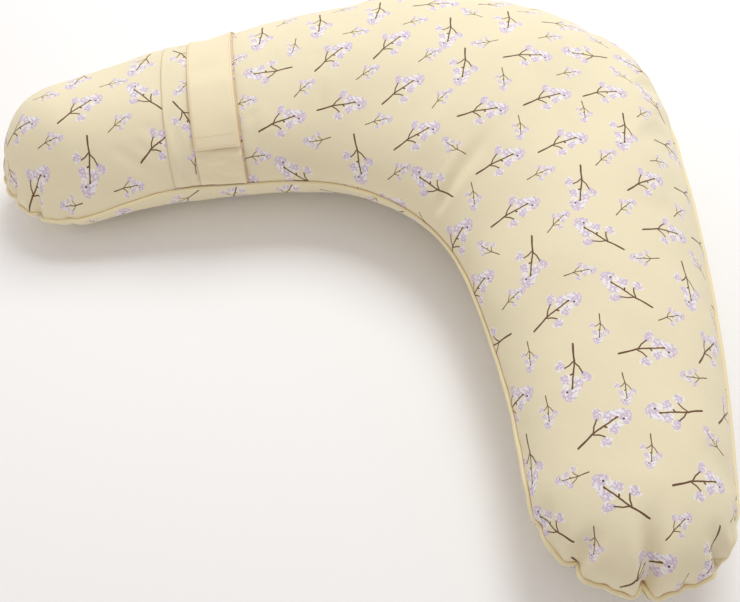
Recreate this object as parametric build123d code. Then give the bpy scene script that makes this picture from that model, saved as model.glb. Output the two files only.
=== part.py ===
from build123d import *

import os
from collections import namedtuple
from math import asin, atan2, cos, degrees, hypot, radians, sin, sqrt

# A crescent nursing pillow. A zipped cotton cover with a piped seam holds an inner case full of
# filling, and a hook-and-loop strap crosses one arm.
#
# Millimetres. +Z is up and the pillow lies flat on z = 0. +Y points to the outer side of the bend,
# the crook opens towards -Y, and the strap is on the -X arm. The origin is the middle of the
# footprint, on the floor.

# Driving dimensions: the seam outline, made of arcs that run into each other.
bend_width = 345.0           # across the pillow in the middle of its bend
inner_bend_radius = 178.0
outer_bend_radius = 247.0
inner_arm_radius = 870.0
outer_arm_radius = 1970.0
tip_radius = 86.5
tip_x = 336.0                # tip circle's centre, measured from the middle of the bend
tip_drop = 308.0

# Driving dimensions: the body above and below the seam.
seam_height = 68.0           # the seam's height above the floor
lower_depth = 73.0           # how far the round underside would reach if the floor didn't flatten it
bend_height = 87.0           # top of the bend above the seam
tip_height = 55.5            # top of an arm's end above the seam
height_fade = 1.35           # how fast the top falls from the bend towards the tips
bend_spans = 4               # cross-sections are this many steps apart along half the bend,
arm_spans = 8                # and along an arm, so that all steps are about as long

# Layers, counted inwards from the outside of the cover.
cover_thickness = 0.6
case_inset = 3.2             # outside of the inner case
case_thickness = 0.4
filling_inset = 3.9
seam_gap = 0.4               # half the slit between the two cover panels that the piping's tape fills
seam_slab_side = 1400.0      # the block that cuts the slit reaches past the whole outline

# Piping: a cord in a folded bias strip whose two edges lie between the panels.
piping_radius = 2.0
piping_offset = 2.6          # the piping's middle, outwards from the panels' edge
piping_cord_radius = 1.2
piping_wall = 0.7
piping_tape_inset = 1.8      # how far the strip's edges reach in between the panels
piping_tape_half = 0.3

# Strap stack on the -X arm, counted outwards from the cover.
Layer = namedtuple("Layer", "inner outer")
band_layer = Layer(0.3, 0.9)
short_strap_layer = Layer(1.2, 2.2)
loop_layer = Layer(2.5, 3.5)
hook_layer = Layer(3.8, 4.6)
long_strap_layer = Layer(4.9, 6.1)
strap_direction = 135.0      # direction of the strap's run across the arm, from +X
band_width = 80.0
strap_width = 50.0
strap_x = -214.0             # where the strap's centre line meets the arm's centre line
strap_y = -102.5
band_shift = -13.5           # band's centre line, along the arm from the strap's centre line
long_strap_end = -43.0       # end of the long strap, across the arm from the arm's centre line
short_strap_end = 15.0       # end of the short strap that is sewn into the inner seam
patch_end = 12.0
patch_margin = 4.0           # strap cloth left bare round the hook and loop patches
seam_clearance = 3.0         # strap roots start this far above the seam
beyond = 200.0               # from the arm's centre line, past either side of the arm

# Zip: round the outside of the bend, just under the piping.
zip_half_angle = 30.0
zip_surface_half_width = 168.0   # half width of the body behind the zip, for its inward fall
coil_top = 7.0               # drops below the seam
coil_height = 2.2
coil_gap = 1.2
coil_out = 0.7               # coil's outer and inner face, from the middle of the tape
coil_in = 0.8
chain_lift = 0.4             # the upright chain stands this far out of the cover's surface
tape_top = 2.4
tape_bottom = 23.0
tape_upright = 1.6           # the lower tape runs straight down this far below the chain
tape_thickness = 0.5
tape_tuck = 2.0              # the lower tape's hidden edge lies this far in from the surface
cover_cutback = 18.0         # lower panel's edge below the seam along the zip
zip_cut_reach = 20.0         # the lower panel is cut back through this far in and out
stop_angle = 0.8
stop_space = 0.2
slider_length = 11.0
slider_post_length = 3.0
slider_post_height = 0.6
slider_plate = 0.9
slider_overlap = 1.3         # slider's plates past the coils, above and below
slider_clearance = 0.3
slider_park_angle = 4.0      # slider's middle from the end of the zip when it is shut or open

# Pull tab: a frame with a crossbar that turns under the slider's bridge.
bridge_length = 6.0
bridge_width = 2.2
bridge_bar = 0.9
tab_bar_radius = 0.6
tab_bar_gap = 0.9            # slider's plate to the crossbar's axis
tab_width = 5.4
tab_arm = 1.0
tab_reach = 4.6              # crossbar to the solid part of the tab
tab_length = 18.0
tab_thickness = 1.0
tab_corner = 2.4

# Care label: a small folded cloth tab, sewn in behind the zip.
label_width = 30.0
label_drop_top = 24.0
label_drop_bottom = 38.0
label_angle = 20.0           # from the middle of the bend towards the +X arm
label_inset = 1.6
label_thickness = 0.4

mid_y = (tip_drop + tip_radius - bend_width / 2) / 2   # puts the origin in the footprint's middle

Point = namedtuple("Point", "x y")
# A stretch of the seam outline. outward is +1 where the outside lies beyond the arc, else -1.
Stretch = namedtuple("Stretch", "centre radius start sweep outward")


def bearing(from_point, to_point):
    return degrees(atan2(to_point.y - from_point.y, to_point.x - from_point.x))


def along(centre, radius, angle):
    return Point(centre.x + radius * cos(radians(angle)), centre.y + radius * sin(radians(angle)))


def crook_side_meet(first, first_reach, second, second_reach):
    """Point at given distances from two centres, on the crook's side of the line between them."""
    gap = hypot(second.x - first.x, second.y - first.y)
    run = (gap ** 2 + first_reach ** 2 - second_reach ** 2) / (2 * gap)
    side = sqrt(first_reach ** 2 - run ** 2)
    ux, uy = (second.x - first.x) / gap, (second.y - first.y) / gap
    return Point(first.x + run * ux + side * uy, first.y + run * uy - side * ux)


inner_bend_centre = Point(0.0, mid_y - bend_width / 2 - inner_bend_radius)
outer_bend_centre = Point(0.0, mid_y + bend_width / 2 - outer_bend_radius)
tip_centre = Point(tip_x, mid_y - tip_drop)
inner_arm_centre = crook_side_meet(
    inner_bend_centre, inner_arm_radius - inner_bend_radius,
    tip_centre, inner_arm_radius + tip_radius,
)
outer_arm_centre = crook_side_meet(
    outer_bend_centre, outer_arm_radius - outer_bend_radius,
    tip_centre, outer_arm_radius - tip_radius,
)
inner_bend_end = bearing(inner_arm_centre, inner_bend_centre)
inner_arm_end = bearing(inner_arm_centre, tip_centre)
outer_bend_end = bearing(outer_arm_centre, outer_bend_centre)
outer_arm_end = bearing(outer_arm_centre, tip_centre)
tip_start = bearing(tip_centre, inner_arm_centre)


def mirrored(stretch):
    centre = Point(-stretch.centre.x, stretch.centre.y)
    return stretch._replace(centre=centre, start=180.0 - stretch.start - stretch.sweep)


def outline_stretches():
    """The closed seam outline: two bend arcs, and two arm arcs and a tip on each side."""
    inner_arm = Stretch(inner_arm_centre, inner_arm_radius, inner_arm_end,
                        inner_bend_end - inner_arm_end, -1)
    outer_arm = Stretch(outer_arm_centre, outer_arm_radius, outer_arm_end,
                        outer_bend_end - outer_arm_end, 1)
    tip = Stretch(tip_centre, tip_radius, tip_start, (outer_arm_end - tip_start) % 360.0, 1)
    inner_bend = Stretch(inner_bend_centre, inner_bend_radius, inner_bend_end,
                         180.0 - 2 * inner_bend_end, -1)
    outer_bend = Stretch(outer_bend_centre, outer_bend_radius, outer_bend_end,
                         180.0 - 2 * outer_bend_end, 1)
    one_side = [inner_arm, outer_arm, tip]
    return [inner_bend, outer_bend] + one_side + [mirrored(item) for item in one_side]


def rib_ends(station):
    """Inner and outer end of a rib: 0 is the middle of the bend, 1 its end, 2 the arm's end."""
    along_bend = min(station, 1.0)
    along_arm = max(station - 1.0, 0.0)
    inner_angle = 90.0 + (inner_bend_end - 90.0) * along_bend
    outer_angle = 90.0 + (outer_bend_end - 90.0) * along_bend
    if along_arm == 0.0:
        return (along(inner_bend_centre, inner_bend_radius, inner_angle),
                along(outer_bend_centre, outer_bend_radius, outer_angle))
    inner_angle += (inner_arm_end - inner_bend_end) * along_arm
    outer_angle += (outer_arm_end - outer_bend_end) * along_arm
    return (along(inner_arm_centre, inner_arm_radius, inner_angle),
            along(outer_arm_centre, outer_arm_radius, outer_angle))


class Rib:
    """A cross-section's place: its middle, its direction to the outer side and its half width."""

    def __init__(self, station):
        inner, outer = rib_ends(abs(station))
        if station < 0:
            inner, outer = Point(-inner.x, inner.y), Point(-outer.x, outer.y)
        self.middle = Point((inner.x + outer.x) / 2, (inner.y + outer.y) / 2)
        width = hypot(outer.x - inner.x, outer.y - inner.y)
        self.half_width = width / 2
        self.across = Point((outer.x - inner.x) / width, (outer.y - inner.y) / width)
        far = min(hypot(self.middle.x, self.middle.y - mid_y) / hypot(tip_x, tip_drop), 1.0)
        self.height = tip_height + (bend_height - tip_height) * (1.0 - far) ** height_fade

    def plane(self):
        across = Vector(self.across.x, self.across.y, 0)
        return Plane(
            origin=(self.middle.x, self.middle.y, seam_height),
            x_dir=across, z_dir=across.cross(Vector(0, 0, 1)),
        )


bend_stations = [step / bend_spans for step in range(bend_spans + 1)]
arm_stations = [1.0 + (step + 1) / arm_spans for step in range(arm_spans)]
right_stations = bend_stations + arm_stations
all_stations = [-item for item in reversed(right_stations[1:])] + right_stations
strap_arm_stations = [-item for item in reversed(bend_stations[1:] + arm_stations)]
end_rib = Rib(2.0)
end_rib_setback = sqrt(tip_radius ** 2 - end_rib.half_width ** 2)


def underside(half_width, depth, floor):
    """Edges of a section's underside from its outer end to its inner end, level at the floor."""
    turn = degrees(asin(floor / depth))
    outer = EllipticalCenterArc((0, 0), half_width, depth, start_angle=0.0, arc_size=-turn)
    inner = EllipticalCenterArc((0, 0), half_width, depth, start_angle=turn - 180.0,
                                arc_size=-turn)
    return [outer, Line(outer @ 1, inner @ 0), inner]


def section(rib, half_width, height, depth, floor):
    """Closed cross-section. Without a height or a depth it ends on the seam plane."""
    rim = [(half_width, 0), (-half_width, 0)]
    if height:
        edges = [EllipticalCenterArc((0, 0), half_width, height, start_angle=0.0, arc_size=180.0)]
    else:
        edges = [Line(*rim)]
    if depth:
        edges += underside(half_width, depth, floor)
    else:
        edges.append(Line(rim[1], rim[0]))
    return rib.plane() * Wire([edge.edge() for edge in edges])


def body(inset, upper=True, lower=True, stations=all_stations):
    """The body above or below the seam, or both, made smaller all round by inset.

    The round underside is pressed flat where it rests. The round ends of the arms are added where
    the stations reach both of them.
    """
    sections = []
    reach = tip_radius - inset
    floor = seam_height - inset
    for station in stations:
        rib = Rib(station)
        height = rib.height - inset
        depth = lower_depth - inset
        half_width = rib.half_width - inset
        if abs(station) == right_stations[-1]:
            half_width = sqrt(reach ** 2 - end_rib_setback ** 2)
            height *= half_width / reach
            depth *= half_width / reach
        sections.append(
            section(rib, half_width, upper and height, lower and depth, floor))
    arms = Solid.make_loft(sections)
    if stations != all_stations:
        return arms
    cap = end_cap(reach, upper and tip_height - inset, lower and lower_depth - inset, floor)
    return arms.fuse(cap, mirror(cap, about=Plane.YZ)).solid()


def end_cap(reach, height, depth, floor):
    """Round end of the +X arm: half a section turned about the tip, cut off at the last rib."""
    edges = []
    top = bottom = (0, 0)
    if height:
        arc = EllipticalCenterArc((0, 0), reach, height, start_angle=0.0, arc_size=90.0)
        edges.append(arc)
        top = (0, height)
    if depth:
        turn = degrees(asin(floor / depth))
        arc = EllipticalCenterArc((0, 0), reach, depth, start_angle=0.0, arc_size=-turn)
        edges += [arc, Line(arc @ 1, (0, -floor))]
        bottom = (0, -floor)
    edges.append(Line(top, bottom))
    if not (height and depth):
        edges.append(Line((0, 0), (reach, 0)))
    axis_plane = Plane(origin=(tip_centre.x, tip_centre.y, seam_height), x_dir=(1, 0, 0),
                       z_dir=(0, -1, 0))
    profile = axis_plane * make_face([edge.edge() for edge in edges])
    dome = revolve(profile, axis=Axis((tip_centre.x, tip_centre.y, 0), (0, 0, 1)))
    outwards = Vector(end_rib.across.y, -end_rib.across.x, 0)
    cut = Plane(origin=(end_rib.middle.x, end_rib.middle.y, seam_height), z_dir=outwards)
    return split(dome, bisect_by=cut, keep=Keep.TOP).solid()


def shell(inset, thickness, upper, stations=all_stations):
    """One half of a closed cloth skin."""
    outside = body(inset, upper=upper, lower=not upper, stations=stations)
    inside = body(inset + thickness, upper=upper, lower=not upper, stations=stations)
    return (outside - inside).solid()


def around_outline(profile_of):
    """Turn a profile about each stretch's centre. profile_of(out) gives a face in x-outwards, z."""
    pieces = []
    for stretch in outline_stretches():
        plane = Plane(
            origin=(stretch.centre.x, stretch.centre.y, seam_height),
            x_dir=(cos(radians(stretch.start)), sin(radians(stretch.start)), 0),
            z_dir=(sin(radians(stretch.start)), -cos(radians(stretch.start)), 0),
        )
        face = plane * Pos(stretch.radius, 0) * profile_of(stretch.outward)
        axis = Axis((stretch.centre.x, stretch.centre.y, 0), (0, 0, 1))
        pieces.append(revolve(face, axis=axis, revolution_arc=stretch.sweep))
    joined = pieces[0].fuse(*pieces[1:])
    return joined.solid()


def seam_slab():
    """The slit at the seam that parts the upper and lower panels."""
    return Pos(0, 0, seam_height) * Box(seam_slab_side, seam_slab_side, 2 * seam_gap)


# --- cover ---------------------------------------------------------------------------------------

def make_top_panel():
    return shell(0.0, cover_thickness, upper=True) - seam_slab()


def make_bottom_panel():
    opening = zip_ring(-zip_cut_reach, zip_cut_reach, -tape_top, cover_cutback, (0.0, 0.0))
    return shell(0.0, cover_thickness, upper=False) - seam_slab() - opening


def make_piping_cover():
    def profile(outward):
        tube = Pos(outward * piping_offset, 0) * Circle(piping_radius)
        tape_length = piping_tape_inset + piping_offset - piping_radius + piping_wall / 2
        tape_middle = -piping_tape_inset + tape_length / 2
        tape = Pos(outward * tape_middle, 0) * Rectangle(tape_length, 2 * piping_tape_half)
        core = Pos(outward * piping_offset, 0) * Circle(piping_radius - piping_wall)
        return (tube + tape) - core

    return around_outline(profile)


def make_piping_cord():
    def profile(outward):
        return Pos(outward * piping_offset, 0) * Circle(piping_cord_radius)

    return around_outline(profile)


# --- zip -----------------------------------------------------------------------------------------

def inward_fall(drop):
    """How far the round body falls in at a height below its seam."""
    return zip_surface_half_width * (1.0 - sqrt(1.0 - (drop / lower_depth) ** 2))


def zip_ring(inner, outer, top, bottom, falls, half_angle=zip_half_angle, middle=90.0):
    """Part of a ring round the bend between two drops below the seam.

    inner and outer are offsets from a surface that lies falls inside the seam's outline, at the
    ring's top and at its bottom.
    """
    corners = [
        (outer_bend_radius + inner - falls[0], -top),
        (outer_bend_radius + outer - falls[0], -top),
        (outer_bend_radius + outer - falls[1], -bottom),
        (outer_bend_radius + inner - falls[1], -bottom),
    ]
    start = radians(middle - half_angle)
    plane = Plane(
        origin=(outer_bend_centre.x, outer_bend_centre.y, seam_height),
        x_dir=(cos(start), sin(start), 0), z_dir=(sin(start), -cos(start), 0),
    )
    face = plane * make_face(Polyline(*corners, close=True).edges())
    axis = Axis((outer_bend_centre.x, outer_bend_centre.y, 0), (0, 0, 1))
    return revolve(face, axis=axis, revolution_arc=2 * half_angle).solid()


def chain_ring(inner, outer, top, bottom, half_angle, middle=90.0):
    """Part of a ring at the upright chain, which the slider follows."""
    return zip_ring(inner, outer, top, bottom, (chain_fall, chain_fall), half_angle, middle)


def surface_ring(inner, outer, top, bottom):
    """Part of a ring along the round body, as long as the tapes."""
    falls = (inward_fall(top), inward_fall(bottom))
    return zip_ring(inner, outer, top, bottom, falls, tape_half_angle)


coil_split_top = coil_top + coil_height
coil_split_bottom = coil_split_top + coil_gap
coil_bottom = coil_split_bottom + coil_height
chain_middle = (coil_top + coil_bottom) / 2
chain_fall = inward_fall(chain_middle) - chain_lift
tape_half_angle = zip_half_angle - stop_space
coil_half_angle = zip_half_angle - stop_angle - 2 * stop_space
slider_middle = 90.0 - zip_half_angle + slider_park_angle
plate_in = coil_out + slider_clearance
plate_face = plate_in + slider_plate


def arc_angle(length):
    return degrees(length / outer_bend_radius)


def make_zip_tape_upper():
    return zip_ring(-tape_thickness, 0.0, tape_top, coil_top, (inward_fall(tape_top), chain_fall),
                    tape_half_angle)


def make_zip_tape_lower():
    """Shown below the chain, then tucked in behind the lower panel's edge."""
    edge = cover_cutback - cover_thickness
    bend_drop = coil_bottom + tape_upright
    upright = chain_ring(-tape_thickness, 0.0, coil_bottom, bend_drop, tape_half_angle)
    slope = zip_ring(-tape_thickness, 0.0, bend_drop, edge, (chain_fall, inward_fall(edge)),
                     tape_half_angle)
    step = surface_ring(-tape_tuck - tape_thickness, 0.0, edge - tape_thickness, edge)
    hidden = surface_ring(-tape_tuck - tape_thickness, -tape_tuck, edge, tape_bottom)
    return upright.fuse(slope, step, hidden).solid()


def make_zip_coil_upper():
    return chain_ring(-coil_in, coil_out, coil_top, coil_split_top, coil_half_angle)


def make_zip_coil_lower():
    return chain_ring(-coil_in, coil_out, coil_split_bottom, coil_bottom, coil_half_angle)


def zip_end_block(top, bottom, side):
    middle = 90.0 + side * (zip_half_angle - stop_space - stop_angle / 2)
    return chain_ring(-coil_in, coil_out, top, bottom, stop_angle / 2, middle)


def make_zip_top_stops():
    """Two blocks, one on each tape, that hold the shut slider."""
    return Compound([
        zip_end_block(coil_top, coil_split_top, -1),
        zip_end_block(coil_split_bottom, coil_bottom, -1),
    ])


def make_zip_bottom_stop():
    """One block across both tapes, that holds the open slider."""
    return zip_end_block(coil_top, coil_bottom, 1)


def slider_frame():
    """Plane at the slider: x outwards, y along the zip, z up, on the face of its outer plate."""
    angle = radians(slider_middle)
    reach = outer_bend_radius - chain_fall + plate_face
    return Plane(
        origin=(outer_bend_centre.x + reach * cos(angle), outer_bend_centre.y + reach * sin(angle),
                seam_height - chain_middle),
        x_dir=(cos(angle), sin(angle), 0), z_dir=(0, 0, 1),
    )


def slider_bridge():
    """Arch over the outer plate that the pull tab's crossbar turns under."""
    rise = tab_bar_gap + tab_bar_radius + slider_clearance + bridge_bar
    eye_depth = rise - bridge_bar
    arch = Pos(rise / 2, 0, 0) * Box(rise, bridge_length, bridge_width)
    arch -= Pos(eye_depth / 2, 0, 0) * Box(eye_depth, bridge_length - 2 * bridge_bar, bridge_width)
    for side in (-1, 1):
        foot = Box(slider_plate / 2, bridge_bar, bridge_width)
        arch += Pos(-slider_plate / 4, side * (bridge_length - bridge_bar) / 2, 0) * foot
    return slider_frame() * arch


def make_zip_slider():
    """Two plates joined by a post between the coils, with a bridge for the pull tab."""
    top = coil_top - slider_overlap
    bottom = coil_bottom + slider_overlap
    half_angle = arc_angle(slider_length) / 2
    inner_face = -coil_in - slider_clearance
    outer_plate = chain_ring(plate_in, plate_face, top, bottom, half_angle, slider_middle)
    inner_plate = chain_ring(inner_face - slider_plate, inner_face, top, bottom, half_angle,
                             slider_middle)
    post = chain_ring(inner_face - slider_plate / 2, plate_in + slider_plate / 2,
                      chain_middle - slider_post_height / 2, chain_middle + slider_post_height / 2,
                      arc_angle(slider_post_length) / 2, slider_middle)
    return outer_plate.fuse(inner_plate, post, *slider_bridge().solids()).solid()


def make_zip_pull_tab():
    """Crossbar under the bridge, two arms and a rounded plate that lies along the zip."""
    bar = Pos(tab_bar_gap, 0, 0) * Cylinder(tab_bar_radius, tab_width)
    arm_length = tab_reach + tab_arm
    arms = [
        Pos(tab_bar_gap, arm_length / 2, side * (tab_width - tab_arm) / 2)
        * Box(tab_thickness, arm_length, tab_arm)
        for side in (-1, 1)
    ]
    plate_length = tab_length - tab_reach
    plate = Pos(tab_bar_gap, tab_reach + plate_length / 2, 0) * Box(
        tab_thickness, plate_length, tab_width)
    plate = fillet(plate.edges().filter_by(Axis.X).group_by(Axis.Y)[-1], tab_corner)
    return (slider_frame() * (bar + arms[0] + arms[1] + plate)).solid()


# --- inside --------------------------------------------------------------------------------------

def make_inner_case_top():
    return shell(case_inset, case_thickness, upper=True)


def make_inner_case_bottom():
    return shell(case_inset, case_thickness, upper=False)


def make_filling():
    return body(filling_inset)


def make_care_label():
    """Sewn in behind the cover, under the zip."""
    falls = (inward_fall(label_drop_top), inward_fall(label_drop_bottom))
    return zip_ring(-label_inset - label_thickness, -label_inset, label_drop_top,
                    label_drop_bottom, falls, arc_angle(label_width) / 2, 90.0 - label_angle)


# --- strap ---------------------------------------------------------------------------------------

def strap_plane():
    """x runs along the arm towards the bend, y across the arm to its outer side."""
    across = Vector(cos(radians(strap_direction)), sin(radians(strap_direction)), 0)
    return Plane(origin=(strap_x, strap_y, seam_height), x_dir=across.cross(Vector(0, 0, 1)),
                 z_dir=(0, 0, 1))


def strip(layer, width, inner_end, outer_end, shift=0.0):
    """Part of a layer over the arm: a strip across it between two ends, above the seam."""
    sheet = shell(-layer.outer, layer.outer - layer.inner, upper=True,
                  stations=strap_arm_stations)
    length = outer_end - inner_end
    tall = 2 * bend_height
    block = Pos(shift, (inner_end + outer_end) / 2, seam_clearance + tall / 2) * Box(
        width, length, tall)
    return (sheet & (strap_plane() * block)).solid()


def make_printed_band():
    return strip(band_layer, band_width, -beyond, beyond, band_shift)


def make_strap_short():
    return strip(short_strap_layer, strap_width, -beyond, short_strap_end)


def make_loop_patch():
    return strip(loop_layer, strap_width - 2 * patch_margin, long_strap_end + patch_margin,
                 patch_end)


def make_hook_patch():
    return strip(hook_layer, strap_width - 2 * patch_margin, long_strap_end + patch_margin,
                 patch_end)


def make_strap_long():
    return strip(long_strap_layer, strap_width, long_strap_end, beyond)


MAKERS = {
    "top_panel": make_top_panel,
    "bottom_panel": make_bottom_panel,
    "piping_cover": make_piping_cover,
    "piping_cord": make_piping_cord,
    "zip_tape_upper": make_zip_tape_upper,
    "zip_tape_lower": make_zip_tape_lower,
    "zip_coil_upper": make_zip_coil_upper,
    "zip_coil_lower": make_zip_coil_lower,
    "zip_top_stops": make_zip_top_stops,
    "zip_bottom_stop": make_zip_bottom_stop,
    "zip_slider": make_zip_slider,
    "zip_pull_tab": make_zip_pull_tab,
    "inner_case_top": make_inner_case_top,
    "inner_case_bottom": make_inner_case_bottom,
    "filling": make_filling,
    "care_label": make_care_label,
    "printed_band": make_printed_band,
    "strap_short": make_strap_short,
    "loop_patch": make_loop_patch,
    "hook_patch": make_hook_patch,
    "strap_long": make_strap_long,
}

os.makedirs("parts", exist_ok=True)
for node, maker in MAKERS.items():
    shape = maker()
    export_step(shape, f"parts/{node}.step")
    solids = shape.solids()
    print(f"{node:20s} {len(solids)} solids, {sum(item.volume for item in solids) / 1000:.2f} cm3")
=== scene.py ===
import math

import bmesh
import bpy
import numpy as np
from mathutils import Matrix, Vector
from mathutils.bvhtree import BVHTree


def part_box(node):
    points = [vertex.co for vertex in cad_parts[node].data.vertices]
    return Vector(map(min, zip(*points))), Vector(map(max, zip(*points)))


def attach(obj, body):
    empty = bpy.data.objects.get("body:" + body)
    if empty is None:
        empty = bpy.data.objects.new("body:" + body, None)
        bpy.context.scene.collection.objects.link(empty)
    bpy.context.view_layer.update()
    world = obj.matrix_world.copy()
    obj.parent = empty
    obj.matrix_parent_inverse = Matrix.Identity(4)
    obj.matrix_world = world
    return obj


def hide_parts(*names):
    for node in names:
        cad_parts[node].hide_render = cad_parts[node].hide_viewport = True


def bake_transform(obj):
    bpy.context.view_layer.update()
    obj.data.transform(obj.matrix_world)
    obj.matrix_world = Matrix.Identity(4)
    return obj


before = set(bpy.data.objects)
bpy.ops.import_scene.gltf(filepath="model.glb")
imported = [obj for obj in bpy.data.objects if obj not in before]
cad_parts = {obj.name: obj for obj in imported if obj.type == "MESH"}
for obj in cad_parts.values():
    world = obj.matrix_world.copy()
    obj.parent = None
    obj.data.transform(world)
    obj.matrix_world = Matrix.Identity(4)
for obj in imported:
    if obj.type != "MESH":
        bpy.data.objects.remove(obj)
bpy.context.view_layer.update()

# A crescent nursing pillow in printed cotton. Lengths in the dimensions below are millimetres, and
# meshes are written in metres. The outline and the sections are the CAD cover's own.

MM = 0.001

# Outline of the seam.
BEND_WIDTH = 345.0
INNER_BEND_RADIUS = 178.0
OUTER_BEND_RADIUS = 247.0
INNER_ARM_RADIUS = 870.0
OUTER_ARM_RADIUS = 1970.0
TIP_RADIUS = 86.5
TIP = np.array([336.0, -197.0])
BEND_MIDDLE = np.array([0.0, 111.0])

# Sections.
SEAM_HEIGHT = 68.0
LOWER_DEPTH = 73.0
BEND_HEIGHT = 87.0
TIP_HEIGHT = 55.5
HEIGHT_FADE = 1.35
SEAM_INSET = 0.8             # the panels' edge, in from the outline, under the piping

# The grid on each panel: columns from the inner to the outer seam, rows from tip to tip.
INNER_STEPS = (0.0, 1.6, 3.6, 7.0, 12.0)
OUTER_STEPS_TOP = (0.0, 1.6, 3.6, 7.0, 11.5, 16.5, 21.5)
OUTER_STEPS_LOWER = (0.0, 2.0, 3.2, 8.0, 13.0, 17.4, 18.6)
MIDDLE_COLUMNS = 44
ROW_STEP = 6.6
TIP_ROWS = 14
TIP_SIDE_SHARE = 0.22        # share of a tip's seam along each side of its patch

# Zip opening in the lower panel, round the outside of the bend.
ZIP_HALF_ANGLE = 30.0
ZIP_TOP = 2.4
ZIP_BOTTOM = 18.0
ZIP_DEPTH = 4.2              # the cover lies this far behind the tapes

# Strap stack on the -X arm.
STRAP_MIDDLE = np.array([-214.0, -102.5])
STRAP_DIRECTION = 135.0
STRAP_WIDTH = 50.0
PATCH_WIDTH = 42.0
BAND_WIDTH = 80.0
BAND_SHIFT = -13.5

# Print: a rectangular repeat, turned on the cloth. Growth is each sprig's direction against the
# repeat, in turns: four of every eight sprigs grow roughly the same way.
REPEAT = (57.5, 66.5)
PRINT_TURN = -41.0
PRINT_START = (247.0, -66.0)  # a large sprig's middle on the cloth
SPRIG_LENGTH = 51.0
SMALL_SPRIG_LENGTH = 28.5
SPRIG_MIDDLE = (-0.02, 0.49)  # in the sprig's own frame
GROWTH = (0.295, 0.33, 0.36, 0.26, 0.965, 0.99, 0.76, 0.63)
SPRIG_JITTER = (5.0, 7.0)
LOWER_PRINT_SHIFT = (17, 31)

# How the stuffed -X arm lies: towards the tip its seam sags and its underside is tucked in, and the
# arm is fuller, wider on its outer side and longer. A run is where a change starts and where it is
# full, as distances from the strap towards the tip.
ARM_START = (20.0, 160.0)    # the same for all of them together, as distances to -X of the middle
TIP_SAG = 26.0
TIP_SAG_RUN = (35.0, 165.0)
SAG_LEAN = 0.28              # share of the sag that is moved from the outer to the crook's side
TIP_TUCK = 13.0
TIP_TUCK_RUN = (20.0, 130.0)
TIP_TUCK_DROP = 40.0         # below the seam, where the tuck is full
TIP_REACH = 11.0
TIP_REACH_RUN = (40.0, 200.0)
ARM_FULLNESS = 6.0
ARM_FULL_HEIGHT = 135.0      # the arm is fuller from the seam's height up to this one
ARM_SWELL = 9.0
ARM_SWELL_RUN = (10.0, 90.0)
ARM_SWELL_HEIGHT = 75.0      # height of the part above the seam that swells

# How far the bend's outer flank bulges on the +X side, and falls in on the -X side. Angles are in
# radians from +Y towards +X, about the middle of the bend.
BEND_BULGE = 13.0
BULGE_ANGLE = 0.62
BULGE_SPREAD = 0.42
BEND_HOLLOW = 6.0
HOLLOW_ANGLE = -0.42
HOLLOW_SPREAD = 0.30
BULGE_HEIGHT = 90.0          # height of the part above the seam that bulges
BULGE_RADII = (110.0, 200.0) # where it starts and where it is full, from the middle of the bend

TIP_CLOTH_REACH = 113.0      # radius of the flat cloth at a tip

# Unevenness of the stuffed cloth: height, wave length and seed of each set of ripples.
BROAD_RIPPLE = (1.1, 95.0, 4)
FINE_RIPPLE = (0.4, 38.0, 7)
GATHER_RIPPLE = (0.9, 19.0, 12)
GATHER_REACH = 22.0
GATHER_SHARES = (0.25, 0.85, 0.45)  # everywhere, added at the tips, added round the outer bend
SEAM_GROOVE = 1.2
SEAM_GROOVE_REACH = 3.0

# Cloth simulation of the cover.
CLOTH_FRAMES = 16
CLOTH_MOVE_LIMIT = 7.5
TIP_SLACK = 0.045            # how much larger the cloth is cut at the tips
MIDDLE_SLACK = 0.008
CLOTH_SETTINGS = {
    "quality": 6, "mass": 0.25, "air_damping": 3.0,
    "tension_stiffness": 18.0, "compression_stiffness": 9.0,
    "shear_stiffness": 6.0, "bending_stiffness": 0.35,
    "use_pressure": True, "uniform_pressure_force": 3.6,
    "vertex_group_mass": "pins", "pin_stiffness": 4.0,
}

# Piping.
PIPING_RADIUS = 1.95
PIPING_OFFSET = 1.7          # its middle, outwards from the seam
PIPING_SIDES = 14
PIPING_TAIL = 1.35           # reach of the strip's tucked edges, in radii

# Strap stack. Ends are level distances from the arm's centre line, negative on the crook's side.
# Shares are of the way over the arm from the crook's seam. Lifts are heights above the cover.
ARM_STRETCH = (-75.0, 60.0)  # of the arm that is measured for the stack, along it
PATCH_ENDS = (-39.0, 12.0)
SHORT_END = 15.0
STRAP_END = -43.0
BAND_SHARES = (0.004, 0.996)
SHORT_START_SHARE = 0.006
ROOT_SHARE = 0.985
BLEND_SHARE = 0.07
BAND_LIFT = 0.5
BAND_THICKNESS = 0.6
SHORT_LIFT = 1.7
SHORT_THICKNESS = 0.9
LOOP_LIFT = 2.75
LOOP_THICKNESS = 0.7
HOOK_LIFT = 3.6
HOOK_THICKNESS = 0.6
LONG_LIFT = 1.9
LONG_THICKNESS = 1.1
PATCH_STACK = 2.6            # how much the patches raise the long strap
EDGE_FALL = 1.3              # how much lower its edges lie beside them

# Any strip: steps along it, how closely its columns crowd to the edges, hem and thinner edge.
STRIP_STEP = 3.2
STRIP_CROWDING = 1.35
HEM_RISE = 0.22
HEM_INSET = 2.2
HEM_REACH = 2.0
EDGE_THINNING = 0.38

# Stitching of the long strap.
STITCH_SPACING = 3.2
STITCH_LENGTH = 2.3
STITCH_RADIUS = 0.26
STITCH_LIFT = 0.1
STITCH_INSET = 2.6           # from the strap's long edges
STITCH_END_ROWS = (3.0, 13.5)  # from the strap's free end
STITCH_FINISH_SHARE = 0.95

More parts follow.
